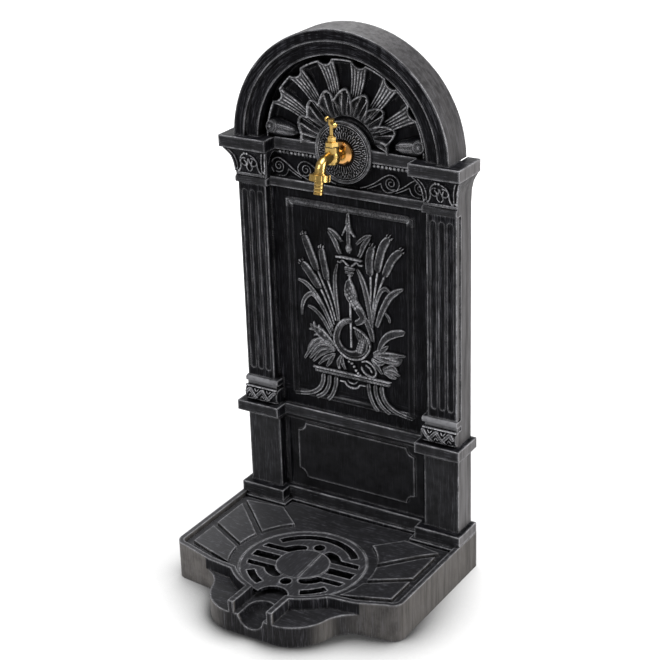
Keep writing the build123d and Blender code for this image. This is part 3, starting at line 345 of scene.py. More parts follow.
def antique_black(
    name=CASTING, dust=0.0, sheen_tone=(0.132, 0.128, 0.130), side_from=0.1825, tray=False, level_only=False,
    level_strokes=LEVEL_STROKES
):
    """Near-black casting with pewter dry-brushed on its edges and crests, brush streaks, and painted shade that darkens
    its hollows and the parts near the ground.
    The streaks run along the mouldings, round the arch and down everything else. The outer sides and the arch's outer
    band carry a light painted sheen all over, streaked like the brushing.
    The tray's outer front carries a brushed pewter wash, whose fall from left to right and fade near the ground are
    painted light and shade, and the tray's level faces a painted sheen, paler towards the left.
    dust lifts the whole. With level_only, the pewter and the dust lie on level faces alone, which leaves the walls
    inside the grate's slots black as painted shade."""
    net = material_net(name)
    geometry = net.add("ShaderNodeNewGeometry")
    normal = net.split(geometry.outputs["Normal"])
    spot = net.split(net.coords)
    aside = net.math("ABSOLUTE", spot["X"])
    ahead = net.times(normal["Y"], -1.0)
    facing = net.ramp(ahead, 0.3, 0.6)
    flat = net.ramp(normal["Z"], 0.6, 0.9)

    def turned(radius):
        """How far the normal turns when the edges are rounded by a radius; and that rounded normal."""
        soft = net.add("ShaderNodeBevel", {"Radius": radius}, samples=6).outputs[0]
        dot = net.add("ShaderNodeVectorMath", {0: soft, 1: geometry.outputs["Normal"]}, operation="DOT_PRODUCT")
        return net.less(dot.outputs["Value"]), soft

    def between(value, low, high, edge=0.0006):
        return net.times(net.ramp(value, low - edge, low), net.ramp(value, high, high + edge, 1.0, 0.0))

    zone = {key: net.times(between(aside, *out), between(spot["Z"], *up)) for key, (out, up) in ZONES.items()}
    sharp, soft_normal = turned(0.0017)
    broad, _ = turned(0.0060)
    hollow = net.occlusion(0.009)
    pit = net.occlusion(0.035)
    open_air = net.ramp(hollow, 0.50, 0.86)
    crest = net.add("ShaderNodeAttribute", attribute_name="crest").outputs["Fac"]
    patch = net.noise(46, detail=6.0, rough=0.65)
    speck = net.noise(420, detail=3.0)
    wide = net.noise(1.0, stretch=(120, 120, 7), detail=4.0)

    # polar coordinates about the arch's centre
    from_arch = net.add("ShaderNodeVectorMath", {0: net.coords, 1: ARCH_CENTRE}, operation="SUBTRACT")
    from_arch = net.split(from_arch.outputs[0])
    right, up = from_arch["X"], from_arch["Z"]
    out = net.math("SQRT", net.plus(net.times(right, right), net.times(up, up)))
    round_it = net.times(net.math("ARCTAN2", right, up), ARCH_MIDDLE_RADIUS)
    arch_coords = net.add("ShaderNodeCombineXYZ", {"X": out, "Y": spot["Y"], "Z": round_it}).outputs[0]
    above = net.ramp(up, 0.004, 0.006)
    in_arch = net.times(net.ramp(out, ARCH_RECESS_RADIUS, ARCH_RECESS_RADIUS + 0.001), above)
    shell = net.times(net.ramp(out, ARCH_RECESS_RADIUS - 0.0005, ARCH_RECESS_RADIUS + 0.0005, 0.80, 0.0), above)

    # brush streaks, quieter on the panel field, the plaque, the frieze and the shell
    strips = 0.0
    for low, high in MOULDINGS:
        strips = net.most(strips, net.times(between(spot["Z"], low, high), facing))
    level = net.most(flat, strips)
    down_brush = net.noise(1.0, stretch=LONG_STROKES, detail=6.0, rough=0.75)
    level_brush = net.noise(1.0, stretch=level_strokes, detail=6.0, rough=0.75)
    arch_brush = net.noise(1.0, stretch=LONG_STROKES, detail=6.0, rough=0.75, coords=arch_coords)
    brush = net.mix(level, net.mix(in_arch, down_brush, arch_brush), level_brush)
    strokes = net.ramp(brush, 0.49, 0.70)
    quiet = net.most(
        net.times(zone["field"], 0.60), net.times(net.most(zone["plaque"], zone["frieze"]), 0.80), shell
    )
    streak = net.times(strokes, net.ramp(wide, 0.36, 0.62, 0.10, 1.0), net.less(quiet))

    # pewter on sharp edges, on broad ones along the strokes, and on the crests of the ornament
    edge = net.times(
        net.ramp(sharp, 0.004, 0.08), open_air, net.less(net.times(zone["flutes"], 0.7)),
        net.ramp(speck, 0.30, 0.62, 0.35, 1.0), net.ramp(patch, 0.34, 0.60, 0.22, 1.0)
    )
    rub = net.times(
        net.ramp(broad, 0.002, 0.11), net.ramp(strokes, 0.0, 0.8, 0.22, 0.85), open_air,
        net.ramp(patch, 0.30, 0.62, 0.35, 1.0)
    )
    crest_worn = net.times(
        net.ramp(crest, 0.20, 1.05), net.ramp(patch, 0.30, 0.66, 0.32, 1.0), net.ramp(speck, 0.36, 0.62, 0.22, 1.35)
    )
    dim = net.plus(net.times(zone["border"], 0.78), net.times(zone["frieze"], 0.25))
    light = net.times(net.most(edge, rub, crest_worn), net.less(dim))
    foot_bar = net.times(zone["foot_bar"], net.ramp(ahead, 0.1, 0.5), net.ramp(patch, 0.30, 0.62, 0.06, 0.36))
    light = net.most(light, foot_bar)
    # pewter on level faces only: the walls inside the grate's slots stay black as painted shade
    if level_only:
        light = net.times(light, flat)
    if tray:
        light = net.times(light, 0.80)

    # painted sheen, streaked by the brush: the outer sides, a little darker along the shafts, and the arch's band,
    # palest at its foot and its top
    side = net.times(
        net.ramp(net.math("ABSOLUTE", normal["X"]), 0.70, 0.98), net.ramp(aside, side_from - 0.001, side_from),
        net.less(net.times(between(spot["Z"], *SHAFT_SIDES), 0.22))
    )
    by_slope = net.plus(net.ramp(normal["Z"], 0.1, 0.50, 0.57, 0.44), net.ramp(normal["Z"], 0.80, 0.99, 0.0, 0.30))
    band = net.times(
        net.ramp(out, ARCH_BAND_RADIUS, ARCH_BAND_RADIUS + 0.002), above, net.ramp(normal["Y"], -0.7, -0.3), by_slope
    )
    pale = net.times(
        net.most(side, band), net.ramp(wide, 0.28, 0.62, 0.50, 1.0), net.ramp(brush, 0.36, 0.60, 0.72, 1.0)
    )

    base = net.mix(net.ramp(patch, 0.3, 0.7), rgb(0.0008, 0.0008, 0.0012), rgb(0.0044, 0.0044, 0.0058))
    # dust on level faces alone where asked, so the grate's slot walls stay black: painted shade
    base = net.mix(net.times(flat, dust) if level_only else dust, base, DUST)
    if tray:
        # behind the apron's nose, the gutter and everything over the apron stay dark; the rest of the tray's front gets
        # a brushed pewter wash, most at its left end; its fall across the front and its fade near the ground are
        # painted light and shade
        above_apron = net.times(net.ramp(spot["Z"], APRON_TOP, APRON_TOP + 0.001), between(aside, -ALL, APRON_REACH))
        recess = net.most(above_apron, between(aside, -ALL, GUTTER_REACH))
        outside = net.less(net.times(net.ramp(spot["Y"], APRON_NOSE - 0.001, APRON_NOSE), recess))
        pale = net.times(pale, outside)
        painted_light_across = net.plus(
            net.ramp(spot["X"], -0.090, -0.030, 1.0, 0.05), net.ramp(spot["X"], 0.10, 0.15, 0.0, 0.52)
        )
        front = net.times(
            net.ramp(ahead, 0.2, 0.7), net.ramp(brush, 0.34, 0.66, 0.62, 1.0), net.ramp(patch, 0.30, 0.66, 0.62, 1.0),
            outside, net.times(net.ramp(pit, 0.25, 0.60), painted_light_across)
        )
        base = net.mix(front, base, WARM_PEWTER)
        # painted sheen: the tray's level faces are hazed paler towards the left
        base = net.mix(net.times(flat, net.ramp(spot["X"], -0.190, -0.020, 0.36, 0.07)), base, HAZE_AND_SHEEN)

    # haze on the dies, the plaque and the mouldings, then every layer over the one before
    dies = net.times(zone["dies"], facing)
    plaque = net.times(zone["plaque"], net.ramp(ahead, 0.3, 0.6, 0.0, 0.45))
    haze = net.most(dies, plaque, net.times(strips, net.less(net.times(zone["field"], 0.75), 0.75)))
    base = net.mix(net.times(haze, net.ramp(patch, 0.2, 0.8, 0.12, 0.28)), base, HAZE_AND_SHEEN)
    # the painted sheen on the sides and the band, laid over the base
    washed = net.mix(pale, base, rgb(*sheen_tone))
    streaked = net.mix(net.times(streak, 0.85), washed, STREAK)
    dusty = net.mix(net.times(light, 0.92), streaked, PEWTER)
    # painted shade: hollows and the parts near the ground are darkened towards black by how little open sky the
    # occlusion finds over them
    with_painted_shade = net.mix(net.ramp(hollow, 0.25, 0.75, 0.9, 0.0), dusty, rgb(0.002, 0.002, 0.002))
    with_painted_shade = net.mix(net.ramp(pit, 0.16, 0.42, 0.95, 0.0), with_painted_shade, rgb(0.001, 0.001, 0.001))
    height = net.plus(net.times(brush, 0.5), net.times(net.noise(900, detail=2.0), 0.5))
    bump = net.bump(height, 0.25, 0.0006, Normal=soft_normal)
    return net.coat(with_painted_shade, net.ramp(patch, 0.2, 0.8, 0.42, 0.6), bump, **{"Specular IOR Level": 0.05})


def brass(name, colour, dark, rough_low, rough_high):
    """Cast and polished brass: warm metal with painted shade that darkens its hollows, and fine polishing marks."""
    net = material_net(name)
    cloud = net.noise(90, detail=4.0)
    marks = net.noise(1.0, stretch=(700, 700, 160), detail=3.0)
    tone = net.mix(net.ramp(cloud, 0.35, 0.7), rgb(*colour), rgb(*[0.86 * c for c in colour]))
    # painted shade: the hollows are darkened towards the dark colour
    tone = net.mix(net.ramp(net.occlusion(0.006), 0.3, 0.8, 0.7, 0.0), tone, rgb(*dark))
    return net.coat(tone, net.ramp(cloud, 0.3, 0.7, rough_low, rough_high), net.bump(marks, 0.12, 0.0004), Metallic=1.0)


def steel():
    """Zinc-plated steel with a fine grain."""
    net = material_net("zinc_steel")
    grain = net.noise(1.0, stretch=(900, 900, 200), detail=2.0)
    tone = net.mix(net.noise(120, detail=3.0), rgb(0.52, 0.53, 0.55), rgb(0.66, 0.66, 0.66))
    return net.coat(tone, net.ramp(grain, 0.3, 0.7, 0.28, 0.42), net.bump(grain, 0.15, 0.0003), Metallic=1.0)


def rubber(name, tone_a, tone_b):
    """Matte rubber with a faint mottling and a fine moulded grain."""
    net = material_net(name)
    cloud = net.noise(70, detail=4.0)
    bump = net.bump(net.noise(1400, detail=2.0), 0.2, 0.0002)
    return net.coat(net.mix(cloud, rgb(*tone_a), rgb(*tone_b)), net.ramp(cloud, 0.3, 0.7, 0.55, 0.75), bump)


ANTIQUE = antique_black()
ROSETTE_BLACK = antique_black("antique_rosette", dust=0.14)
SLOT_FINISH = {
    "antique_black": ANTIQUE,
    "brass": brass("satin_brass", (0.64, 0.43, 0.14), (0.10, 0.05, 0.015), 0.20, 0.32),
    "steel": steel(),
    "black_rubber": rubber("black_rubber", (0.018, 0.018, 0.018), (0.03, 0.03, 0.03)),
    "hose": rubber("green_black_hose", (0.012, 0.03, 0.014), (0.02, 0.05, 0.022)),
}
OWN_FINISH = {
    "tap_wall_flange": brass("polished_red_brass", (0.76, 0.40, 0.14), (0.14, 0.06, 0.02), 0.10, 0.18),
    "base_tray": antique_black("antique_tray", dust=0.05, sheen_tone=(0.100, 0.093, 0.087), side_from=0.0, tray=True),
    "drain_grate": antique_black("antique_grate", dust=0.20, level_only=True, level_strokes=(500, 40, 500)),
    "tap_rosette": ROSETTE_BLACK,
}
for part in frame["record"]["subparts"]:
    materials = frame["nodes"][part["node"]].data.materials
    materials.clear()
    materials.append(OWN_FINISH.get(part["node"], SLOT_FINISH[part["material_slot"]]))


# ---------------------------------------------------------------- scallop shell in the arch

FAN_CENTRE_Z = 668.0
FAN_FLOOR = 24.0
FAN_OPENING = math.radians(89.6)
FAN_HUB = 64.0
FAN_RIM = 134.5
RIB_ANGLES = np.radians([12.3, 37.1, 59.6, 96.0])
RIB_HALF = math.radians(5.6)
RIB_LINES = math.radians(2.55) * np.arange(-2, 3)
SCOOP_RADIUS = 12.3
SCOOP_DEEP = 8.2
RUFFLE_HUB = 46.0
RUFFLE_PEAKS = np.radians([0.0, 22.4, 44.4, 67.2])
RUFFLE_RIBS = math.radians(7.467) * (np.arange(-12, 12) + 0.5)
RUFFLE_BEAD = 3.0
LIP_DROP = 1.8


def rise(value, start, length):
    """0 up to a start, then straight up to 1 over a length."""
    return np.clip((value - start) / length, 0, 1)


def wave(angle, centres, half):
    """1 at each centre, falling as a cosine to 0 at half an opening away; the same on both sides."""
    gap = np.min(np.abs(np.abs(angle)[..., None] - centres), -1)
    return np.where(gap < half, 0.5 + 0.5 * np.cos(np.pi * gap / half), 0.0)


def rib_offset(angle):
    """Signed angle from the nearest rib, measured outwards."""
    away = np.abs(angle)[..., None] - RIB_ANGLES
    pick = np.argmin(np.abs(away), -1)
    return np.take_along_axis(away, pick[..., None], -1)[..., 0]


def hump(x, width):
    """A narrow round ridge: 1 in the middle and 0 from half a width away."""
    return np.sqrt(np.clip(1 - (2 * x / width) ** 2, 0, 1))


def fan_sheet(r, angle, depth, crest, rim, lip, lip_crest):
    """A polar sheet on the front, angle from straight up and positive to the right. It has a lower lip just
    outside its rim, and one more row or column on each side that goes straight back into the arch's floor."""
    r = np.concatenate([r, rim + lip], 0)
    depth = np.concatenate([depth, depth[-1:] - LIP_DROP], 0)
    crest = np.concatenate([crest, crest[-1:] * lip_crest], 0)
    r, angle, depth, crest = (np.pad(v, 1, mode="edge") for v in np.broadcast_arrays(r, angle, depth, crest))
    border = np.ones(depth.shape, bool)
    border[1:-1, 1:-1] = False
    depth = np.where(border, FAN_FLOOR - 0.6, depth)
    grid = front_point(r * np.sin(angle), FAN_CENTRE_Z + r * np.cos(angle), depth)
    sheet = Relief()
    sheet.add(grid, strip_faces(*depth.shape), np.where(border, 0.0, crest).ravel())
    return sheet


def make_fan(rows=84, columns=900):
    """Seven hollow lobes between lined ribs: a height over the arch's floor as a function of the way out from
    the hub and of the angle. The rim has a round scoop at each rib, a bead along it and flares forwards."""
    s = np.linspace(0, 1, rows)[:, None] ** 0.8
    angle = np.linspace(-FAN_OPENING, FAN_OPENING, columns)[None, :]
    off = rib_offset(angle)
    chord = np.sqrt(np.clip(SCOOP_RADIUS**2 - (FAN_RIM * off) ** 2, 0, None))
    rim = FAN_RIM - np.clip(chord - (SCOOP_RADIUS - SCOOP_DEEP), 0, None)
    r = FAN_HUB + s * (rim - FAN_HUB)
    to_rim = rim - r
    near_rim = rise(r, 84, 46)
    level = 28.5 + 8.0 * near_rim**2.6
    off_rib = rise(np.abs(off), RIB_HALF, math.radians(2.2))
    hollow = (5.2 + 2.5 * near_rim) * (off_rib * (2 - off_rib)) * rise(to_rim, 3.0, 5.0)
    splay = 1.0 + 0.16 * rise(-to_rim, -14, 14) ** 2
    lines = np.max(hump((off / splay)[..., None] - RIB_LINES, math.radians(1.75)), -1) * rise(to_rim, 3.2, 2.5)
    rim_bead = 1.9 * np.exp(-(((to_rim - 1.7) / 1.35) ** 2))
    depth = level - hollow + 1.9 * lines + rim_bead
    crest = np.clip(0.96 * lines**2.2 * (0.45 + 0.55 * rise(r, 70, 30)) + 0.56 * rim_bead, 0, 1)
    return fan_sheet(r, angle, depth, crest, rim, lip=0.6, lip_crest=0.6)


def make_ruffle(rows=72, columns=800):
    """The inner ruffle: flutes that open outwards to a wavy beaded edge, which lies back at each lobe and
    comes forward between them, with thin ribs that run in from it to the hub and lean a little."""
    s = np.linspace(0, 1, rows)[:, None]
    angle = np.linspace(-FAN_OPENING, FAN_OPENING, columns)[None, :]
    lobe = wave(angle, RUFFLE_PEAKS, math.radians(11.25))
    rim = 75.0 + 14.2 * lobe**0.52
    r = RUFFLE_HUB + s * (rim - RUFFLE_HUB)
    rim_level = 37.5 - 8.0 * lobe**0.8
    level = 24.8 + (rim_level - 24.8) * s**1.2
    hollow = 5.0 * lobe**0.8 * s**0.7 * rise(1 - s, 0, 0.14)
    lean = 0.10 * (1 - s) ** 1.3
    ends = rise(1 - s, 0, 0.06)
    lines = np.max(hump((angle + lean)[..., None] - RUFFLE_RIBS, math.radians(2.1)), -1)
    rim_bead = hump(rim - 2.3 - r, 4.6)
    depth = level - hollow + 3.0 * lines * rise(s, 0, 0.35) * ends + RUFFLE_BEAD * rim_bead
    crest = np.clip(rim_bead**2 + lines**1.6 * rise(s, 0.10, 0.4) * ends, 0, 1)
    return fan_sheet(r, angle, depth, crest, rim, lip=0.8, lip_crest=0.5)


make_fan().mesh("shell_fan", ANTIQUE)
make_ruffle().mesh("shell_ruffle", ANTIQUE)

VOLUTE_ROOT = 26.5
VOLUTE_X = [78, 101, 121, 139]
VOLUTE_Z = [679, 681, 684, 685]
VOLUTE_WIDTH = [15, 25, 32, 34]
VOLUTE_HEIGHT = [7, 11, 15, 17]
VOLUTE_EYE = (126.0, 687.0)
VOLUTE_EYE_RADIUS = 8.0


def volute_depth(x, z):
    """Depth of a volute's roll: a half ellipse across it, as wide and as high as the lists say at that x, and
    shrunk to a round end over half its width."""
    middle, width, height = (np.interp(np.abs(x), VOLUTE_X, v) for v in (VOLUTE_Z, VOLUTE_WIDTH, VOLUTE_HEIGHT))
    left = np.clip(2 * (VOLUTE_X[-1] - np.abs(x)) / width, 0, 1)
    shrink = np.sqrt(np.clip(1 - (1 - left) ** 2, ROUNDED_END**2, 1))
    return VOLUTE_ROOT + height * shrink * np.sqrt(np.clip(1 - (2 * (z - middle) / (width * shrink)) ** 2, 0, 1))


def volute_line(offset):
    """Points along a volute at a part of its half width from its middle line."""
    x = np.array([86, 96, 106, 115])
    return list(zip(x, np.interp(x, VOLUTE_X, VOLUTE_Z) + 0.5 * offset * np.interp(x, VOLUTE_X, VOLUTE_WIDTH)))


def circle(centre, radius, angles):
    """Points on a circle, its angles measured from the right."""
    return [(centre[0] + radius * math.cos(a), centre[1] + radius * math.sin(a)) for a in angles]


volutes = Relief()
roll = list(zip(VOLUTE_X, VOLUTE_Z))
eye_ring = circle(VOLUTE_EYE, VOLUTE_EYE_RADIUS, np.linspace(0, 2 * np.pi, 25))
twin_ridges(volutes, roll, width=VOLUTE_WIDTH, height=VOLUTE_HEIGHT, base=VOLUTE_ROOT, across=21, gleam=0.40)
twin_ridges(
    volutes, volute_line(-0.2), volute_line(0.45), width=[1.2, 2.4, 1.6], height=1.0, base=volute_depth, gleam=0.24
)
twin_ridges(volutes, eye_ring, width=2.8, height=1.4, base=volute_depth, samples=48, ends=(0, 0), gleam=0.46)
for side in (1, -1):
    bead(volutes, side * VOLUTE_EYE[0], VOLUTE_EYE[1], float(volute_depth(*VOLUTE_EYE)), (2.6, 2.6, 1.5), around=12)
volutes.mesh("shell_volutes", ANTIQUE)


# ---------------------------------------------------------------- frieze

FRIEZE = 26.0
FRIEZE_BEADS = 11
BEAD_PITCH = 6.78
SPIRAL_Z = 622.6
SPIRAL_TURNS = 1.75

frieze = Relief()
for k in range(FRIEZE_BEADS):
    for side in (1, -1):
        bead(frieze, side * (47.6 + BEAD_PITCH * k), 647.4, 30.0, (2.9, 3.5, 3.6))
for centre in (73.0, 121.0):
    turns = np.linspace(0, SPIRAL_TURNS * 2 * np.pi, 40)
    radius = 10.6 - 9.0 * (turns / turns[-1]) ** 0.85
    spiral = zip(centre + radius * np.cos(-0.9 - turns), SPIRAL_Z + radius * np.sin(-0.9 - turns))
    sweep = [(-53, 607.6), (-42, 611.6), (-28, 619), (-12, 630.5), (0, 635.6), (10, 631.5), (14, 622), (9, 611)]
    stem = [(-41, 608), (-28, 614), (-17, 620.2)]
    back = [(-17, 620.2), (-14.5, 612.5), (-8, 607.6), (2, 607.2)]
    sweep, stem, back = ([(centre + dx, z) for dx, z in path] for path in (sweep, stem, back))
    twin_ridges(frieze, list(spiral), width=2.1, height=3.2, base=FRIEZE, samples=80, gleam=0.85)
    twin_ridges(frieze, sweep, width=2.3, height=3.4, base=FRIEZE, gleam=0.85)
    twin_ridges(frieze, stem, back, width=2.1, height=3.0, base=FRIEZE, gleam=0.85)
frieze.mesh("frieze_scrolls", ANTIQUE)


# ---------------------------------------------------------------- rosette behind the tap

ROSETTE_Z = 663.0
ROSETTE_FACE = 40.6
FLORETS = 20
FLORET_PITCH = 360.0 / FLORETS
ROSETTE_RING = 42.2


def polar_path(angle, *steps):
    """Points at (radius, turn) steps about the rosette's centre, turn in degrees from the given angle."""
    turns = [(r, math.radians(angle + a)) for r, a in steps]
    return [(r * math.sin(a), ROSETTE_Z + r * math.cos(a)) for r, a in turns]


rosette = Relief()
for k in range(FLORETS):
    at = FLORET_PITCH * (k + 0.5)
    beside = at + 0.5 * FLORET_PITCH
    for side in (1, -1):
        petal = polar_path(at, (20.0, 4.6 * side), (25.5, 4.3 * side), (30.0, 3.4 * side), (32.4, 0.4 * side))
        ridge(rosette, petal, [1.2, 1.5, 1.5], 1.9, ROSETTE_FACE, samples=12, across=5)
        tip = polar_path(at, (33.6, 2.2 * side), (36.5, 4.2 * side), (40.8, 3.4 * side))
        ridge(rosette, tip, [1.5, 1.9, 1.7], 1.9, ROSETTE_FACE, samples=8, across=5)
    dart = polar_path(beside, (27.5, 0), (33.0, 0), (35.5, 0))
    ridge(rosette, dart, [1.0, 2.0, 1.2], 1.8, ROSETTE_FACE, samples=7, across=5)
    bead(rosette, *polar_path(at, (38.4, 0))[0], ROSETTE_FACE, (1.2, 1.2, 1.6), around=8)
    bead(rosette, *polar_path(beside, (39.2, 0))[0], ROSETTE_FACE, (1.3, 1.3, 1.6), around=8)
ring = polar_path(0, *[(ROSETTE_RING, 6.0 * k) for k in range(61)])
ridge(rosette, ring, 1.6, 1.6, ROSETTE_FACE, samples=120, across=5, ends=(0, 0))
rosette.mesh("rosette_petals", ROSETTE_BLACK)


# ---------------------------------------------------------------- capitals

CAPITAL_X = 163.0
CAPITAL_NECK = 43.0

# half of a capital: each line as points across from its middle and up, with its width and its height
CAPITAL_LINES = (
    ([(-20.5, 611), (-17.3, 614.5), (-15.0, 621), (-14.8, 629), (-12.2, 635.5), (-8.5, 639.5), (-4.8, 642.5)],
     [3.6, 2.8, 2.6], 3.2),
    (circle((-7.6, 627.8), 6.6, np.radians([60, 110, 160, 205, 250, 290, 325])), [1.4, 2.2, 2.4], 2.8),
    ([(-3.0, 624.5), (-6.6, 621.8), (-10.8, 622.6)], [2.6, 3.2], 3.4),
    ([(-3.6, 627.5), (-6.0, 628.8), (-7.6, 631.8)], [3.4, 2.2], 3.0),
    ([(-1.0, 634.5), (-1.4, 628), (-4.6, 621), (-4.4, 616.5), (-0.8, 612.5)], 1.9, 2.2),
    ([(-11.0, 632.8), (-8.0, 635.2), (-4.6, 634.6)], 1.8, 2.6),
    ([(-26.6, 609.5), (-27.6, 620), (-29.5, 632), (-33.5, 642), (-38.2, 650)], [2.4, 3.0, 3.4], 2.8),
    ([(-22.6, 612), (-22.0, 620), (-23.2, 631), (-26.6, 640.5), (-31.0, 648)], [2.6, 2.0, 2.6], 2.6),
)
CAPITAL_BEADS = ((-2.5, 643.6, 2.5), (-4.4, 625.8, 2.1), (-20.2, 611.2, 2.4), (-25.4, 613.4, 2.2))


def capital_depth(x, z):
    """Depth of the capital's front, which flares from its neck to the abacus."""
    return np.interp(z, [604, 624, 637, 646, 652.3], [CAPITAL_NECK, 44.5, 48.5, 54.5, 60]) + 0 * x


capitals = Relief()
for turn in (1, -1):
    for offsets, width, height in CAPITAL_LINES:
        for flip in (1, -1):
            path = [(turn * (CAPITAL_X + flip * dx), z) for dx, z in offsets]
            ridge(capitals, path, width, height, capital_depth)
    for flip in (1, -1):
        for dx, z, size in CAPITAL_BEADS:
            x = turn * (CAPITAL_X + flip * dx)
            bead(capitals, x, z, float(capital_depth(0, z)) + 0.6, (size, size, size * 1.15))
    ridge(capitals, [(turn * 137.5, 607.2), (turn * 190.0, 607.2)], 4.4, 2.4, CAPITAL_NECK, profile="strap")
capitals.mesh("capital_scrolls", ANTIQUE)


# ---------------------------------------------------------------- plaited foot torus

FOOT_X = 134.5
FOOT_PITCH = 22.5
TORUS_MIDDLE = 239.5
TORUS_HALF = 12.0


def torus_depth(x, z):
    """Depth of the foot's swelling: a half round between the ledge and the fillet."""
    return 44.5 + 6.6 * np.sqrt(np.clip(1 - ((z - TORUS_MIDDLE) / TORUS_HALF) ** 2, 0, 1)) + 0 * x


def add_foot(foot, turn):
    """The plait on the pilaster picked by turn, with a thin bar above it and one below."""

    def strap(middle, path, width=6.0, height=3.4, profile="channel", across=13):
        """One line of the plait; its path is given across from a middle."""
        ridge(foot, [(turn * (middle + dx), z) for dx, z in path], width, height, torus_depth, profile, across=across)

    def chevron(middle, reach, outer_z, inner_z):
        """Two thin bars that lean together between the straps."""
        for lean in (-1, 1):
            strap(middle, [(lean * reach, outer_z), (lean * 0.2, inner_z)], 2.0, 1.6, "round", 9)

    for k in range(3):
        mid = FOOT_X + FOOT_PITCH * k
        strap(mid, [(-1, 249), (10.2, 236.6), (18.5, 229.2)] if k < 2 else [(0, 249), (8.5, 239.5)])
        strap(mid, [(1, 249), (-7.0, 240), (-14.0, 231.5)] if k else [(1, 249), (-2.5, 245)])
        if k < 2:
            chevron(mid + 0.5 * FOOT_PITCH, 4, 248.6, 243.6)
        if k > 0:
            chevron(mid, 3.4, 233.2, 239.4)
    ridge(foot, [(turn * 131.5, 251.4), (turn * 190.5, 251.4)], 3.2, 2.6, 47.5)
    ridge(foot, [(turn * 131.5, 228.6), (turn * 189.0, 228.6)], 2.6, 2.4, 45.5)


foot = Relief()
for turn in (1, -1):
    add_foot(foot, turn)
foot.mesh("foot_plait", ANTIQUE)


# ---------------------------------------------------------------- panel relief: trident, eel and bulrushes

PANEL = 28.0
PANEL_SHIFT = (0.9, 0.6)
panel = Relief()


def line(points, width, height=3.2, profile="round", base=PANEL, **more):
    ridge(panel, [(x + PANEL_SHIFT[0], z + PANEL_SHIFT[1]) for x, z in points], width, height, base, profile, **more)


def pod(points, width, height, across=11, **more):
    """A full, smooth form with a gleam along both its shoulders."""
    line(points, width, height, "pod", across=across, **more)


def bulrush(head, stem, width):
    """A bulrush head on its stem, with a ragged tuft at its end."""
    line(stem, [3.6, 4.2, 4.8], 2.8)
    pod(head, [0.7 * width, width, width, width, 0.72 * width], 5.4)
    a, b = np.array(head[-2], float), np.array(head[-1], float)
    run = (b - a) / max(np.hypot(*(b - a)), 1e-6)
    out = np.array([-run[1], run[0]])
    for aside, reach in ((-0.30, 3.2), (0.05, 5.2), (0.33, 3.0)):
        start = b + aside * width * out - 1.5 * run
        line([tuple(start), tuple(start + (reach + 1.5) * run)], [3.4, 1.6], 4.6)


def grooved(points, width, height, **more):
    line(points, width, height, "channel", across=13, **more)


def blade(points, width, height=4.0):
    """A grooved blade that narrows to its tip; the first point is its root."""
    grooved(points, [0.55 * width, 0.9 * width, width, 0.9 * width, 0.35 * width], height)


def frond(root, tips, width, height=4.2):
    """Blades fanning out from one root, each through a middle point to its tip."""
    for middle, tip in tips:
        grooved([root, middle, tip], [0.5 * width, width, 0.3 * width], height)


# reeds behind, left then right
blade([(-33, 372), (-50, 405), (-66, 428), (-80, 440), (-95, 444)], 9.5)
blade([(-33, 366), (-45, 395), (-58, 415), (-70, 424), (-82, 415), (-88, 400), (-89, 384)], 8.5)
blade([(-34, 357), (-50, 384), (-65, 398), (-79, 403)], 8.0)
blade([(-22, 385), (-24, 402), (-27, 432), (-27, 460), (-22, 482)], 8.0)
bulrush([(-58, 462), (-66, 482), (-75, 504), (-81, 520)], [(-28, 385), (-38, 418), (-52, 450), (-58, 463)], 14.0)
bulrush([(-41, 449), (-44, 466), (-48, 486), (-50, 503)], [(-23, 388), (-30, 418), (-38, 443), (-41, 451)], 12.5)
bulrush([(-54, 434), (-65, 449), (-76, 463), (-87, 474)], [(-31, 378), (-38, 400), (-48, 423), (-54, 434)], 15.0)
blade([(44, 388), (53, 414), (66, 440), (78, 452), (91, 460)], 12.5)
blade([(38, 400), (44, 428), (52, 448), (61, 455), (70, 449)], 8.0)
blade([(59, 416), (66, 409), (68, 400)], 5.0)
blade([(36, 385), (33, 410), (28, 438), (21, 462), (12, 480)], 11.0)
blade([(38, 362), (34, 380), (28, 394), (22, 404)], 12.0)
bulrush([(35, 470), (34, 487), (35, 504), (40, 520)], [(38, 390), (34, 420), (35, 445), (35, 471)], 14.5)
bulrush([(47, 478), (51, 500), (58, 522), (69, 538)], [(38, 395), (39, 425), (43, 452), (47, 479)], 14.5)
bulrush([(59, 473), (66, 490), (76, 508), (90, 521)], [(40, 400), (44, 430), (50, 452), (59, 474)], 13.5)

# broad leaves at the foot
LEAFLETS = (
    (-66, 366, -3, 12), (-57, 361, -3, 13), (-48, 355, -3, 12), (-40, 350, -2, 10), (-68, 364, -11, -1),
    (-60, 358, -10, -4), (-50, 351, -9, -6)
)
BERRIES = (
    (-6, 323, 2.6), (-1, 321, 3.0), (3, 316, 2.6), (6, 310, 3.0), (10, 306, 2.8), (14, 303, 3.0), (28, 306, 3.2),
    (33, 302, 3.4), (-24, 309, 3.2)
)
grooved([(-30, 340), (-42, 350), (-56, 361), (-77, 372)], [7, 17, 19, 4], 4.4)
for x, z, dx, dz in LEAFLETS:
    line([(x, z), (x + dx, z + dz)], [7, 2.5], 4.4, "leaf", across=11)
pod([(-34, 336), (-52, 341), (-68, 334), (-84, 318)], [10, 24, 26, 8], 2.6, 13, gleam=0.55)
pod([(40, 336), (58, 342), (74, 338), (88, 344)], [10, 22, 20, 6], 2.6, 13, gleam=0.55)
pod([(50, 318), (62, 320), (78, 318)], [8, 20, 8], 2.6, 13, gleam=0.55)
frond((-30, 338), [((-60, 347), (-89, 310)), ((-56, 337), (-79, 312)), ((-54, 328), (-73, 308))], 11.5)
frond((-32, 330), [((-48, 320), (-63, 305)), ((-40, 316), (-48, 304))], 9.0)
frond((-18, 332), [((-25, 318), (-24, 304)), ((-18, 318), (-12, 306))], 8.5)
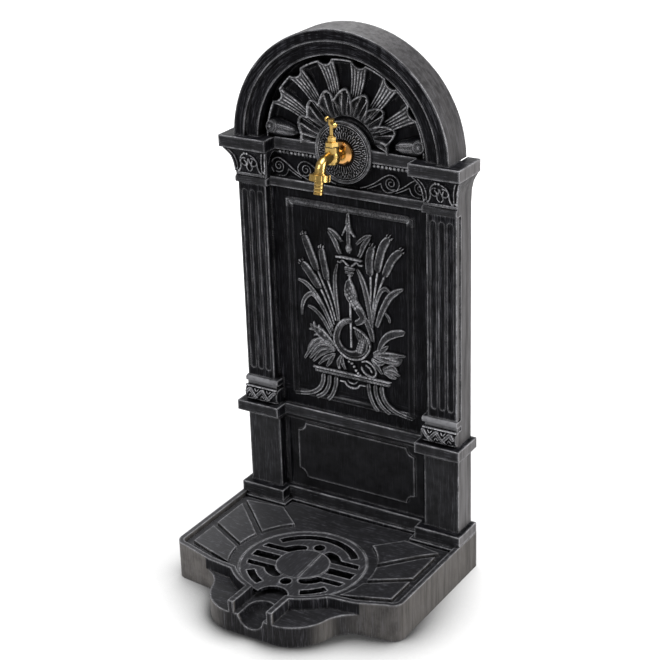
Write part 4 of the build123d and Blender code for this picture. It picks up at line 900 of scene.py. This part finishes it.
pod([(46, 350), (57, 371), (72, 383), (93, 390)], [6, 12, 14, 10], 5.0)
frond((36, 342), [((52, 352), (64, 362)), ((64, 347), (94, 351)), ((60, 338), (82, 338))], 12.0)
frond((34, 336), [((48, 330), (60, 336)), ((44, 324), (54, 312))], 9.5)
frond((54, 318), [((70, 328), (80, 322)), ((72, 320), (84, 316)), ((68, 313), (78, 311))], 10.0)
line([(15, 326), (26, 329), (38, 322), (42, 311), (35, 304), (22, 308), (15, 318)], 4.6, 4.2)
line([(22, 322), (30, 318), (35, 310)], 4.4, 3.0)
for x, z, size in BERRIES:
    bead(panel, x + PANEL_SHIFT[0], z, PANEL + 1.0, (size, size, 4.0), around=8)

# trident
line([(-1.5, 345), (-1.5, 400), (-1.5, 470)], 5.2, 3.6)
pod([(-2, 500), (-2, 545)], 7.0, 3.4, 9)
grooved([(-1, 538), (-1, 552), (-0.5, 567)], [8.0, 8.5, 4.0], 5.2, ends=(0, 1))
line([(-1, 551), (-6, 541), (-13, 527)], [4.0, 5.0, 2.0], 4.4)
line([(0, 548), (3.5, 537), (11, 529)], [5.0, 6.0, 3.4], 5.0)
line([(-2.5, 502), (-2.5, 509), (-2, 519)], [9, 13, 3], 5.8, "leaf", across=13)
for side in (-1, 1):
    pod([(12 * side, 518), (20 * side, 526), (29 * side, 533), (38 * side, 536)], [4, 6, 6, 3], 5.2, 9)
    prong = [(15, 497), (20, 505), (24, 516), (31, 527), (37, 534)]
    grooved([(side * x, z) for x, z in prong], [6.5, 7, 10, 9, 4], 4.8)
    collar = [(1, 481), (6, 484), (12, 489), (17, 485), (23, 486)]
    line([(side * x, z) for x, z in collar], [5.0, 4.4, 4.0], 4.6)
line([(-26, 493), (-10, 494), (10, 493.5), (22, 493)], 5.6, 5.8)
line([(-11, 477), (9, 477)], 6.5, 5.8, "strap")
line([(-9.5, 471), (6.5, 471)], 5.0, 5.0, "strap")
line([(-6, 466), (4, 466)], 3.6, 3.8)

# eel: its head and neck, scales, the outer and the inner coil, and notches and scales on the coils
EEL_SCALES = PANEL + 5.4
pod([(-2.5, 461), (-2, 452), (-1, 439), (3, 428), (9, 419)], [4, 15, 24, 20, 15], 6.4, 13)
pod([(2, 428), (9, 419), (16, 410), (21, 401), (15, 393), (4, 389)], [15, 15, 14, 13, 11, 9], 6.4, 13)
for k in range(6):
    for j in range(3):
        bead(panel, -6.5 + 3.3 * k + 4.2 * j, 441 - 5.0 * k + 3.2 * j, EEL_SCALES, (1.5, 1.9, 1.7), around=8)
line(
    [(-3, 395), (-16, 389), (-26, 376), (-31, 357), (-25, 341), (-11, 330), (4, 328), (19, 333), (30, 346),
     (33, 357), (28, 369), (16, 378), (3, 383)],
    [5, 5.5, 5, 4.4, 4.4, 4.6, 5, 5, 4.6, 4.4, 6, 6, 4], 6.2
)
pod(
    [(2, 392), (-8, 389), (-18, 380), (-24, 367), (-25, 354), (-18, 342), (-5, 336), (8, 338), (18, 347),
     (20, 360), (13, 370), (4, 379)],
    [8, 8, 6, 6, 7, 8, 10, 13, 19, 20, 14, 5], 4.6, 13, gleam=0.75
)
for k in range(6):
    line([(-6 - 3.4 * k, 395 - 2.4 * k), (-10 - 3.0 * k, 388 - 2.6 * k)], 2.2, 1.6, base=PANEL + 4.6, gleam=0.7)
    line([(8 + 4 * k, 379 - 2.2 * k), (11 + 4 * k, 370 - 2.2 * k)], 2.0, 1.4, base=PANEL + 4.4, gleam=0.7)
for k in range(5):
    for j in range(3):
        bead(panel, 10 + 1.4 * k + 3.6 * j, 345 + 4.4 * k - 0.6 * j, PANEL + 4.4, (1.5, 1.8, 1.4), around=8)
panel.mesh("panel_relief", ANTIQUE)

# soft cushion round the field, its crest given pewter as a painted highlight, strong along its top and faint elsewhere
CUSHION_LOW, CUSHION_HIGH, CUSHION_SIDE = 252.2, 570.8, 103.3
CUSHION_OVERLAP = 3
cushion = Relief()
reach = CUSHION_SIDE + CUSHION_OVERLAP
ridge(cushion, [(-reach, CUSHION_HIGH), (reach, CUSHION_HIGH)], 12.0, 3.4, PANEL, across=17, gleam=0.46)
ridge(cushion, [(-reach, CUSHION_LOW), (reach, CUSHION_LOW)], 10.0, 2.6, PANEL, across=17, gleam=0.12)
for x in (-CUSHION_SIDE, CUSHION_SIDE):
    post = [(x, CUSHION_LOW - CUSHION_OVERLAP), (x, CUSHION_HIGH + CUSHION_OVERLAP)]
    ridge(cushion, post, 11.0, 2.8, PANEL, across=17, gleam=0.12)
cushion.mesh("panel_cushion", ANTIQUE)

# shelf and its six splayed legs
SHELF_LEGS = (
    ([(52, 293), (54, 278), (62, 264), (80, 253.5), (109, 248.5)], [9.0, 8.5, 8.0, 6.5], 4.8),
    ([(41, 293), (43, 275), (52, 259), (68, 248)], [8.0, 7.5, 7.0], 4.6),
    ([(29, 293), (31, 275), (38, 258), (47, 248)], [8.0, 7.5, 7.0], 4.6),
)
shelf = Relief()
ridge(shelf, [(-72, 302), (69, 302)], 5.4, 5.6, PANEL)
ridge(shelf, [(-69, 296.4), (67, 296.4)], 5.0, 4.2, PANEL, "strap")
for k in range(24):
    ridge(shelf, [(-63 + 5.4 * k, 298.4), (-61.6 + 5.4 * k, 294.6)], 1.6, 1.4, PANEL + 3.8)
for side in (1, -1):
    for leg, width, height in SHELF_LEGS:
        ridge(shelf, [(side * x, z) for x, z in leg], width, height, PANEL, "channel", across=13)
    ridge(shelf, [(side * 24, 286.5), (side * 13, 286.5)], 3.8, 3.8, PANEL)
ridge(shelf, [(-14, 287), (-9, 281), (0, 278.6), (9, 281), (14, 287)], [3.6, 5.0, 3.6], 4.4, PANEL)
ridge(shelf, [(-9, 291), (-5, 287.4), (0, 286.4), (5, 287.4), (9, 291)], [2.8, 3.6, 2.8], 4.0, PANEL)
shelf.mesh("panel_shelf", ANTIQUE)


# ---------------------------------------------------------------- scene

CAMERA_AZIMUTH, CAMERA_ELEVATION, CAMERA_ROLL = np.radians([32.021, 23.322, -1.8715])
CAMERA_SPOT = np.array([1250.49, -2089.51 + BACK, 1416.43]) * MM
CAMERA_LENS = 93.40
FLOOR_REACH = 6.0
SOFT_SKY = 0.336


def pose(x_axis, y_axis, z_axis, spot):
    """The matrix that turns an object's axes to these directions and moves it to a spot."""
    matrix = np.eye(4)
    matrix[:3, :] = np.stack([x_axis, y_axis, z_axis, spot], -1)
    return Matrix(matrix.tolist())


def place_camera():
    """The camera that the photograph's corners give, in the object's frame."""
    sin_a, cos_a = math.sin(CAMERA_AZIMUTH), math.cos(CAMERA_AZIMUTH)
    sin_e, cos_e = math.sin(CAMERA_ELEVATION), math.cos(CAMERA_ELEVATION)
    sin_r, cos_r = math.sin(CAMERA_ROLL), math.cos(CAMERA_ROLL)
    forward = np.array([-sin_a * cos_e, cos_a * cos_e, -sin_e])
    right = np.array([cos_a, sin_a, 0.0])
    up = np.cross(right, forward)
    data = bpy.data.cameras.new("camera")
    data.sensor_width = 36.0
    data.lens = CAMERA_LENS
    data.clip_end = 50.0
    data.shift_x = -0.001
    camera = place("camera", data)
    camera.matrix_world = pose(cos_r * right + sin_r * up, -sin_r * right + cos_r * up, -forward, CAMERA_SPOT)
    bpy.context.scene.camera = camera


def softbox(name, spot, aim, size, power, colour=(1, 1, 1)):
    """A rectangular studio lamp at a spot, turned towards a point."""
    lamp = bpy.data.lights.new(name, "AREA")
    lamp.shape = "RECTANGLE"
    lamp.size, lamp.size_y = size
    lamp.energy = power
    lamp.color = colour
    z = np.array(spot, float) - np.array(aim, float)
    z /= np.linalg.norm(z)
    x = np.cross([0, 0, 1], z)
    x /= np.linalg.norm(x)
    place(name, lamp).matrix_world = pose(x, np.cross(z, x), z, spot)


def white_sky():
    """A world that is white to the camera and through glass, and a plain soft light otherwise."""
    world = bpy.data.worlds.new("studio")
    bpy.context.scene.world = world
    net = Net(world)
    path = net.add("ShaderNodeLightPath").outputs
    strength = net.ramp(net.most(path["Is Camera Ray"], path["Is Transmission Ray"]), 0.0, 1.0, SOFT_SKY, 1.0)
    net.finish(net.add("ShaderNodeBackground", {"Color": rgb(1, 1, 1), "Strength": strength}), "World")


def white_floor():
    """A pale floor: a plain matte sheet to the light, but to the camera white, with a painted shadow of the object,
    darkest where the object shuts out the most sky over the floor. The painted shadow is deepest in front of the object
    and to its right."""
    corners = [(FLOOR_REACH * x, FLOOR_REACH * y, 0) for x, y in ((-1, -1), (1, -1), (1, 1), (-1, 1))]
    mesh = bpy.data.meshes.new("floor")
    mesh.from_pydata(corners, [], [(0, 1, 2, 3)])
    floor = place("floor", mesh)
    net = material_net("white_floor")
    matte = net.add("ShaderNodeBsdfDiffuse", {"Color": rgb(0.80, 0.80, 0.80)})
    spot = net.split(net.coords)
    # painted shadow: the floor's colour and glow are darkened by how much of its sky the object shuts out, more so in
    # front and to the right
    ahead = net.less(spot["Y"], net.times(spot["X"], 0.3))
    depth = net.ramp(ahead, -0.16, 0.22, 0.3, 2.4)
    painted_shadow_light = net.most(net.less(net.times(net.less(net.occlusion(0.20, samples=16)), depth)), 0.06)
    away = net.add("ShaderNodeVectorMath", {0: net.coords}, operation="LENGTH").outputs["Value"]
    far = net.ramp(away, 0.30, 1.3, 0.54, 1.0)
    shaded = net.add("ShaderNodeBsdfDiffuse", {"Color": net.mix(painted_shadow_light, rgb(0, 0, 0), rgb(0.50, 0.50, 0.50))})
    glow = net.add("ShaderNodeEmission", {"Color": rgb(1, 1, 1), "Strength": net.times(painted_shadow_light, far)})
    seen = net.add("ShaderNodeAddShader", {0: shaded.outputs[0], 1: glow.outputs[0]})
    by_camera = net.add("ShaderNodeLightPath").outputs["Is Camera Ray"]
    pick = net.add("ShaderNodeMixShader", {0: by_camera, 1: matte.outputs[0], 2: seen.outputs[0]})
    mesh.materials.append(net.finish(pick))


place_camera()
white_sky()
white_floor()
softbox("side", (2.6, 0.5, 1.1), (0, 0, 0.45), (1.2, 1.8), 60, (1.0, 0.985, 0.97))
softbox("key", (-0.6, -2.4, 2.4), (0, 0, 0.4), (1.4, 1.0), 40)
softbox("back", (-1.3, 2.2, 1.9), (0, -0.1, 0.05), (1.6, 1.2), 26)
softbox("top", (0.4, -0.2, 2.9), (0, 0, 0.4), (1.6, 1.6), 56)

scene = bpy.context.scene
scene.view_settings.view_transform = "Standard"
